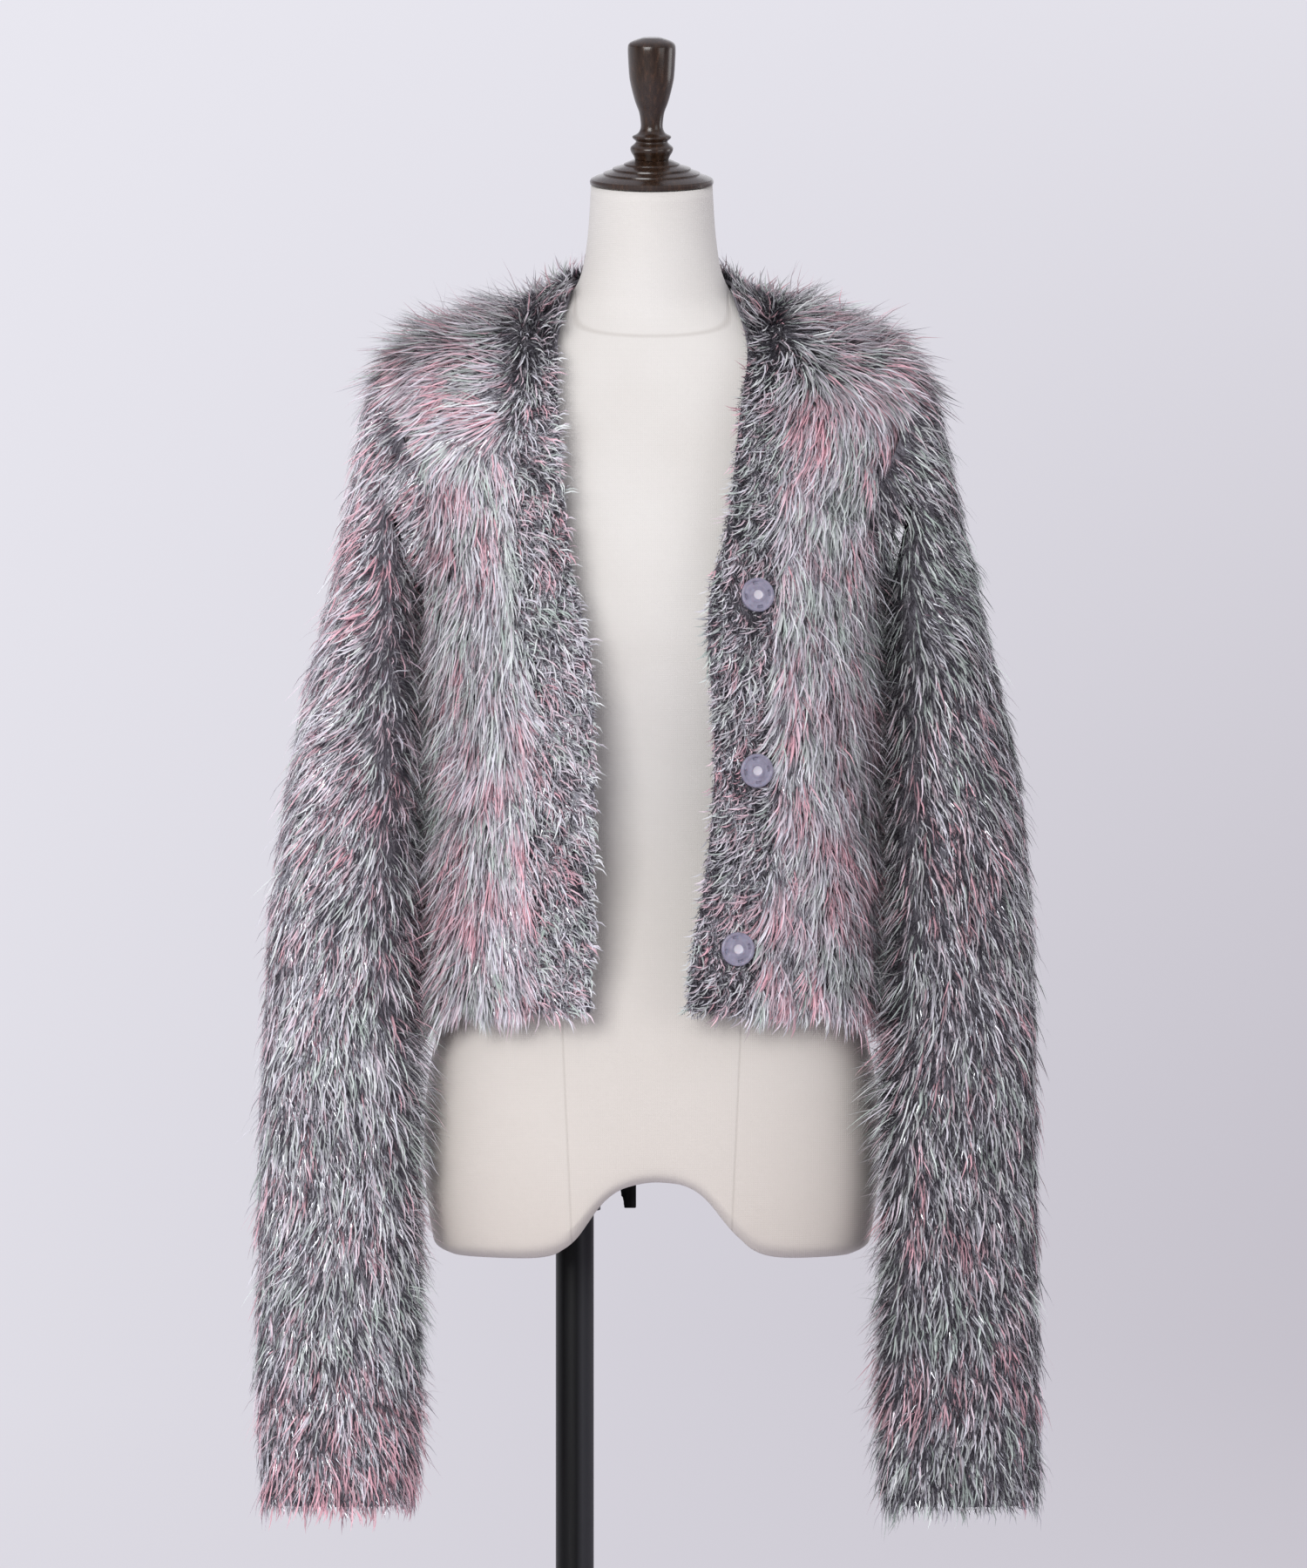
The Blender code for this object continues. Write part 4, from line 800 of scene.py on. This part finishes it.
# Close-grained hardwood turned on a lathe, stained near black-brown and varnished: streaks of
# grain along the axis, faint tool rings round it, and a clear glossy coat.
def turnedWood(add):
    place = add("TexCoord").outputs["Object"]
    stretched = add("Mapping", {"Scale": (1.0, 1.0, 0.12), "Vector": place})
    grain = add("TexNoise", {"Scale": 420.0, "Detail": 5.0, "Roughness": 0.6, "Vector": stretched})
    rings = add("TexWave", {"Scale": 330.0, "Distortion": 0.4, "Vector": place}, bands_direction="Z")
    stain = add("ValToRGB", grain, stops=((0.3, "#201209"), (0.55, "#312014"), (0.75, "#4a3121")))
    rough = add("MapRange", grain, {"To Min": 0.2, "To Max": 0.32})
    height = add("Math/MULTIPLY_ADD", rings.outputs["Fac"], 0.4, grain)
    bump = add("Bump", {"Strength": 0.05, "Distance": 0.0003, "Height": height})
    return {
        "Base Color": stain, "Roughness": rough, "Normal": bump, "Coat Weight": 0.2, "Coat Roughness": 0.12
    }


# Steel with a satin black powder coat: a fine pebbled skin, lighter rubbed streaks along the height where the
# form slides, and a painted grey sheen on the flank that faces +X, standing in for the light that this flank
# catches.
def powderCoat(add):
    place = add("TexCoord").outputs["Object"]
    pebbles = add("TexNoise", {"Scale": 1300.0, "Detail": 2.0, "Vector": place})
    drawn = add("Mapping", {"Scale": (1.0, 1.0, 0.03), "Vector": place})
    streaks = add("TexNoise", {"Scale": 320.0, "Detail": 4.0, "Roughness": 0.65, "Vector": drawn})
    paint = add("ValToRGB", streaks, stops=((0.35, "#070708"), (0.62, "#0e0e10"), (0.8, "#2b2829")))
    # painted light: the flank that faces +X is turned lighter grey, as if lit
    facing = add("SeparateXYZ", add("TexCoord").outputs["Normal"])
    flank = add("MapRange", facing, {"From Min": 0.1, "From Max": 0.4})
    paintedSheen = add("Math/MULTIPLY", flank, 0.8)
    coat = add("Mix", {0: paintedSheen, 6: paint, 7: linear("#343438")}, data_type="RGBA")
    rough = add("MapRange", pebbles, {"To Min": 0.3, "To Max": 0.5})
    bump = add("Bump", {"Strength": 0.25, "Distance": 0.0002, "Height": pebbles})
    return {"Base Color": coat.outputs[2], "Roughness": rough, "Normal": bump, "Specular IOR Level": 0.2}


# Moulded nylon snap, lavender grey: cloudy inside, fine moulding marks, a soft shine.
def snapPlastic(add):
    place = add("TexCoord").outputs["Object"]
    eyelet = add("Attribute", attribute_name="eyelet")
    clouds = add("TexNoise", {"Scale": 260.0, "Detail": 3.0, "Vector": place})
    grainy = add("TexNoise", {"Scale": 2400.0, "Detail": 1.0, "Vector": place})
    colour = add("ValToRGB", clouds, stops=((0.3, "#827e90"), (0.6, "#9490a3"), (0.8, "#a7a3b4")))
    rough = add("MapRange", clouds, {"To Min": 0.28, "To Max": 0.42})
    bump = add("Bump", {"Strength": 0.15, "Distance": 0.0001, "Height": grainy})
    pale = add("Mix", {0: eyelet.outputs["Fac"], 6: colour, 7: linear("#cfcbd4")}, data_type="RGBA")
    return {
        "Base Color": pale.outputs[2], "Roughness": rough, "Normal": bump, "Subsurface Weight": 0.12,
        "Subsurface Scale": 0.002,
    }


# Fibreboard with one coat of dark paint: brushed streaks.
def paintedBoard(add):
    place = add("TexCoord").outputs["Object"]
    drawn = add("Mapping", {"Scale": (0.08, 1.0, 1.0), "Vector": place})
    strokes = add("TexNoise", {"Scale": 500.0, "Detail": 4.0, "Vector": drawn})
    colour = add("ValToRGB", strokes, stops=((0.3, "#211f1d"), (0.7, "#383430")))
    bump = add("Bump", {"Strength": 0.3, "Distance": 0.0003, "Height": strokes})
    return {"Base Color": colour, "Normal": bump, "Roughness": 0.65}


linenMaterial = newMaterial("stretched_plain_weave_linen", creamLinen)
woodMaterial = newMaterial("stained_varnished_turned_hardwood", turnedWood)
steelMaterial = newMaterial("satin_black_powder_coat_on_steel", powderCoat)
plasticMaterial = newMaterial("moulded_nylon_snap", snapPlastic)
boardMaterial = newMaterial("brush_painted_fibreboard", paintedBoard)


# The form in one skin: both its solids' sides, welded where they are cut, and its ceiling closed
def buildForm():
    bm = solidOf("form_torso", "form_skirt")
    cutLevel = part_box("form_torso")[0].z
    flat = [face for face in bm.faces if all(abs(vert.co.z - cutLevel) < 6e-4 for vert in face.verts)]
    bmesh.ops.delete(bm, geom=flat, context="FACES")
    bmesh.ops.remove_doubles(bm, verts=bm.verts, dist=4e-4)
    bmesh.ops.contextual_create(bm, geom=[edge for edge in bm.edges if edge.is_boundary])
    triangles = [face for face in bm.faces if len(face.verts) == 3]
    bmesh.ops.join_triangles(bm, faces=triangles, angle_face_threshold=0.7, angle_shape_threshold=1.4)
    bmesh.ops.recalc_face_normals(bm, faces=bm.faces)
    crease = bm.edges.layers.float.new("crease_edge")
    for edge in bm.edges:
        if len(edge.link_faces) == 2 and edge.calc_face_angle() > math.radians(55):
            edge[crease] = 1.0
    made = smoothed(meshFrom(bm, "form"), 2)
    made.name = "form"
    form = addObject("form", shadeRound(made, 50), linenMaterial)
    return addPiece(form, ["form_torso", "form_skirt"])


# A turned piece from rows of (radius, height), round Z at a place. A closed profile makes a ring.
# shape moves a point by its radius and angle, for the marks that aren't round.
def turnedPiece(name, rows, place, material, segments, sharp, closed=False, shape=None):
    bm = bmesh.new()
    rings = []
    for radius, height in rows:
        ring = []
        for i in range(segments):
            angle = 2 * math.pi * i / segments
            point = Vector((radius * math.cos(angle), radius * math.sin(angle), height))
            point = shape(point, radius, angle) if shape else point
            ring.append(bm.verts.new(place @ point))
        rings.append(ring)
    pairs = list(zip(rings, rings[1:])) + ([(rings[-1], rings[0])] if closed else [])
    for low, high in pairs:
        for i in range(segments):
            k = (i + 1) % segments
            bm.faces.new((low[i], low[k], high[k], high[i]))
    if not closed:
        bm.faces.new(list(reversed(rings[0])))
        bm.faces.new(rings[-1])
    bmesh.ops.recalc_face_normals(bm, faces=bm.faces)
    return addObject(name, shadeRound(meshFrom(bm, name), sharp), material)


rowSteps = 3  # points for each row of a profile that is rounded or smoothed


# Rounds off a profile's corners: each inner point becomes a short arc of this radius
def roundedRows(rows, radius, closed=False):
    made = []
    count = len(rows)
    for i, row in enumerate(rows):
        here = Vector(row)
        if not closed and i in (0, count - 1):
            made.append(tuple(here))
            continue
        before, after = Vector(rows[i - 1]), Vector(rows[(i + 1) % count])
        reach = min(radius, (before - here).length / 2.2, (after - here).length / 2.2)
        start = here + (before - here).normalized() * reach
        end = here + (after - here).normalized() * reach
        for k in range(rowSteps + 1):
            t = k / rowSteps
            made.append(tuple(start * (1 - t) ** 2 + here * 2 * t * (1 - t) + end * t**2))
    return made


# A smooth curve through rows of (radius, height)
def smoothRows(rows):
    points = [Vector(row) for row in rows]
    points = [points[0] * 2 - points[1]] + points + [points[-1] * 2 - points[-2]]
    made = []
    for a, b, c, d in zip(points, points[1:], points[2:], points[3:]):
        for k in range(rowSteps):
            t = k / rowSteps
            curve = 2 * b + (c - a) * t + (2 * a - 5 * b + 4 * c - d) * t**2 + (3 * b - a - 3 * c + d) * t**3
            made.append(tuple(0.5 * curve))
    made.append(tuple(points[-2]))
    return made


# Rows that are given in millimetres
def metres(*rows):
    return [tuple(value / 1000 for value in row) for row in rows]


neckTop = {"place": (0, -0.0035, 1.4273), "slope": 0.20, "gap": 0.0003}
# Profiles as (radius, height over the top of the neck)
capRows = metres(
    (39.5, 0), (42.4, 0.8), (42.7, 2.6), (41.8, 4.2), (38.5, 5.8), (34.5, 7), (33.5, 7.4), (33.2, 8.4),
    (32, 8.9), (28.5, 10), (27.2, 10.5), (26.9, 11.6), (25.7, 12.1), (21.5, 13.3), (19.4, 13.9),
    (19, 14.8), (17.8, 15.3), (15, 16.5), (12.5, 17.5),
)
finialRows = metres(
    (11.7, 17.8), (12.8, 20.3), (14.5, 23.3), (14.6, 26), (12, 28.4), (11, 30.2), (13.1, 32.2),
    (13.1, 33.8), (9.4, 35.8), (7.7, 39.5), (7.8, 44), (8.8, 50.2), (11.1, 56.2), (12.9, 62.3),
    (14.4, 68.5), (15.5, 74.6), (16.2, 84.9), (16.5, 93.5), (15.7, 97.1), (12.3, 99.3), (6.2, 101.3),
)


def buildNeckPieces():
    tilt = Matrix.Rotation(math.atan(neckTop["slope"]), 4, "X")
    place = Matrix.Translation(neckTop["place"]) @ tilt @ Matrix.Translation((0, 0, neckTop["gap"]))
    cap = turnedPiece("neck_cap_turned", capRows, place, woodMaterial, segments=128, sharp=24)
    addPiece(cap, ["neck_cap"])
    finial = turnedPiece(
        "neck_finial_turned", smoothRows(finialRows), place, woodMaterial, segments=80, sharp=60
    )
    addPiece(finial, ["neck_finial"])


# A snap half from its flat side: rim, shallow dish, four sewing slots and a pale socket in the middle
snapRows = metres(
    (3, 0.6), (11.2, 0.2), (11.5, 0.6), (11.5, 2), (11.3, 2.7), (10.7, 3.1), (9.8, 3.1), (9.2, 2.7),
    (8.8, 2.6), (7.6, 2.6), (7.2, 2.7), (6.6, 2.7), (5.5, 2.8), (4.9, 3.1), (4, 3.2), (3.4, 3), (3, 2.6),
    (2.6, 2.4),
)
eyeletRadius = 0.0032


# Presses the four sewing slots into a snap's dish
def slotsPressed(point, radius, angle):
    turn = (math.degrees(angle) + 20) % 90 - 45
    if 0.0074 < radius < 0.0090 and point.z > 0.002 and abs(turn) < 13:
        return point - Vector((0, 0, 0.0011))
    return point


# Each half is turned round the thinnest direction of its solid, and faces the other half
def buildSnaps():
    for side in ("left", "right"):
        for number in (1, 2, 3):
            node = f"snap_{side}_{number}"
            bm = solidOf(node)
            points = np.array([vert.co for vert in bm.verts])
            bm.free()
            centre = points.mean(0)
            axis = np.linalg.svd(points - centre)[2][2]
            outward = Vector(axis) * (1 if axis[1] < 0 else -1) * (1 if side == "left" else -1)
            foot = min((Vector(point) - Vector(centre)).dot(outward) for point in points)
            turn = Vector((0, 0, 1)).rotation_difference(outward).to_matrix().to_4x4()
            place = Matrix.Translation(Vector(centre) + outward * foot) @ turn
            made = turnedPiece(
                node + "_moulded", snapRows, place, plasticMaterial, 60, 40, shape=slotsPressed
            )
            local = [place.inverted() @ vert.co for vert in made.data.vertices]
            pale = [1.0 if point.xy.length < eyeletRadius else 0.0 for point in local]
            made.data.attributes.new("eyelet", "FLOAT", "POINT").data.foreach_set("value", pale)
            addPiece(made, [node])


def buildStand():
    low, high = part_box("pole")
    under, over = (corner.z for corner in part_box("pole_flange"))
    place = Matrix.Translation(((low.x + high.x) / 2, 0, 0))
    radius, inside, bevel = 0.0131, 0.0131 + 0.0003, 0.001
    # profile, how far its corners are rounded, whether it is a ring, and segments
    pieces = {
        "base_plate": (((0.150, 0.0), (0.170, 0.0), (0.170, 0.008), (0.150, 0.0085)), 0.0016, False, 160),
        "base_hub": (
            (
                (inside, 0.0083), (0.034, 0.0083), (0.034, 0.0120), (0.024, 0.0180), (0.024, 0.045),
                (inside, 0.045),
            ),
            0.0012, True, 72,
        ),
        "pole": (
            (
                (radius - bevel, low.z), (radius, low.z + bevel), (radius, high.z - bevel),
                (radius - bevel, high.z),
            ),
            0.0, False, 64,
        ),
        "pole_collar": (
            ((inside, 0.7218), (0.0177, 0.7218), (0.0177, 0.7266), (inside, 0.7266)), 0.0007, True, 64,
        ),
        "pole_flange": (((0.028, under), (0.030, under), (0.030, over), (0.028, over)), 0.0007, False, 64),
    }
    for node, (rows, rounding, closed, segments) in pieces.items():
        shaped = roundedRows(rows, rounding, closed=closed) if rounding else rows
        made = turnedPiece(node + "_coated", shaped, place, steelMaterial, segments, 35, closed=closed)
        addPiece(made, [node])
    for node in ("clamp_bracket", "pole_screw"):
        bm = solidOf(node)
        bmesh.ops.dissolve_limit(bm, angle_limit=0.02, verts=bm.verts, edges=bm.edges)
        sharpEdges = [edge for edge in bm.edges if len(edge.link_faces) == 2 and edge.calc_face_angle() > 0.8]
        bmesh.ops.bevel(bm, geom=sharpEdges, offset=0.0004, segments=2, affect="EDGES", clamp_overlap=True)
        bmesh.ops.recalc_face_normals(bm, faces=bm.faces)
        mesh = shadeRound(meshFrom(bm, node + "_coated"), 35)
        addPiece(addObject(node + "_coated", mesh, steelMaterial), [node])
    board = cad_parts["form_board"]
    board.data.materials.clear()
    board.data.materials.append(boardMaterial)


buildForm()
buildNeckPieces()
buildSnaps()
buildStand()
print("form and stand built")


# ---- studio ----
studio = {
    "wallColour": ("#b7b2bc", "#ebeaf2"), "roomColour": "#dddbe4", "roomLight": 0.9, "glow": 1.0,
    "floorRadius": 7.0, "coveRadius": 5.0, "wallHeight": 9.0, "segments": 96, "under": 0.0005,
    # the photograph is 1.08 m tall at the form
    "eyeDistance": 5.0, "eyeAside": 0.0012, "eyeHeight": 1.0152, "pictureHeight": 1.08,
    # place, aim, size, watts
    "lamps": {
        "key": ((-1.6, -4.0, 2.3), (0, 0, 1.05), 2.4, 132),
        "fill": ((2.9, -2.6, 1.3), (0, 0, 0.9), 2.0, 18),
        "side": ((2.6, 0.6, 1.3), (0, 0, 0.9), 1.0, 8),
        "back": ((0.5, 3.0, 2.2), (0, 0, 1.1), 2.0, 5),
    },
}


# Matt paper sweep round the set. It glows a little away from the object, as if lit by its own lamps.
def sweepPaper(add):
    place = add("TexCoord").outputs["Object"]
    x, y, z = add("SeparateXYZ", place).outputs
    # painted light: paler up and to the left and darkest low on the right, as the light falls off across the
    # sweep
    lower = add("Math/MULTIPLY_ADD", z, -0.27, 1.0)
    across = add("Math/MULTIPLY", x, lower)
    upward = add("Math/MULTIPLY_ADD", z, 0.15, 0.45)
    share = add("Math/MULTIPLY_ADD", across, -0.22, upward)
    dark, pale = studio["wallColour"]
    colour = add("ValToRGB", share, stops=((0.0, dark), (1.0, pale)))
    flat = add("CombineXYZ", x, y)
    far = add("VectorMath/LENGTH", flat)
    glow = add(
        "MapRange", far.outputs["Value"],
        {"From Min": 1.2, "From Max": 4.2, "To Min": 0.0, "To Max": studio["glow"]},
    )
    matt = add(
        "MapRange", far.outputs["Value"], {"From Min": 1.2, "From Max": 4.2, "To Min": 1.0, "To Max": 0.0}
    )
    # the half of the room before the object is dimmer, so that dark glossy pieces stay dark
    ahead = add("MapRange", y, {"From Min": -3.0, "From Max": 1.5, "To Min": 0.45, "To Max": 1.0})
    glow = add("Math/MULTIPLY", glow, ahead)
    base = add("VectorMath/SCALE", colour, {"Scale": matt})
    return {
        "Base Color": base, "Emission Color": colour, "Emission Strength": glow, "Roughness": 0.95,
        "Specular IOR Level": 0.1,
    }


def buildSweep():
    floor, cove, segments = studio["floorRadius"], studio["coveRadius"], studio["segments"]
    rows = [(0.0, 0.0), (1.0, 0.0), (3.0, 0.0), (floor, 0.0)]
    for k in range(1, 13):
        turn = k / 12 * math.pi / 2
        rows.append((floor + cove * math.sin(turn), cove * (1 - math.cos(turn))))
    rows.append((floor + cove, studio["wallHeight"]))
    bm = bmesh.new()
    rings = []
    for radius, height in rows:
        ring = []
        for i in range(segments if radius else 1):
            angle = 2 * math.pi * i / segments
            ring.append(
                bm.verts.new((radius * math.cos(angle), radius * math.sin(angle), height - studio["under"]))
            )
        rings.append(ring)
    for low, high in zip(rings, rings[1:]):
        for i in range(segments):
            k = (i + 1) % segments
            bm.faces.new((low[0], high[i], high[k]) if len(low) == 1 else (low[i], high[i], high[k], low[k]))
    mesh = meshFrom(bm, "sweep")
    mesh.shade_smooth()
    addObject("sweep", mesh, newMaterial("matt_paper_sweep", sweepPaper))


def buildStudio():
    buildSweep()
    world = bpy.data.worlds.new("room")
    bpy.context.scene.world = world
    world.use_nodes = True
    room = {"Color": linear(studio["roomColour"]), "Strength": studio["roomLight"]}
    fillInputs(world.node_tree.nodes["Background"], room)
    for name, (place, aim, size, watts) in studio["lamps"].items():
        lamp = bpy.data.lights.new(name, "AREA")
        lamp.size, lamp.energy = size, watts
        holder = addObject(name, lamp)
        holder.location = place
        holder.rotation_euler = (Vector(aim) - Vector(place)).to_track_quat("-Z", "Y").to_euler()
    camera = bpy.data.cameras.new("photo")
    camera.sensor_width = 36
    camera.lens = camera.sensor_width * studio["eyeDistance"] / studio["pictureHeight"]
    eye = addObject("photo", camera)
    eye.location = (studio["eyeAside"], -studio["eyeDistance"], studio["eyeHeight"])
    eye.rotation_euler = (math.pi / 2, 0, 0)
    bpy.context.scene.camera = eye
    bpy.context.scene.view_settings.view_transform = "Standard"


buildStudio()
print("studio built")
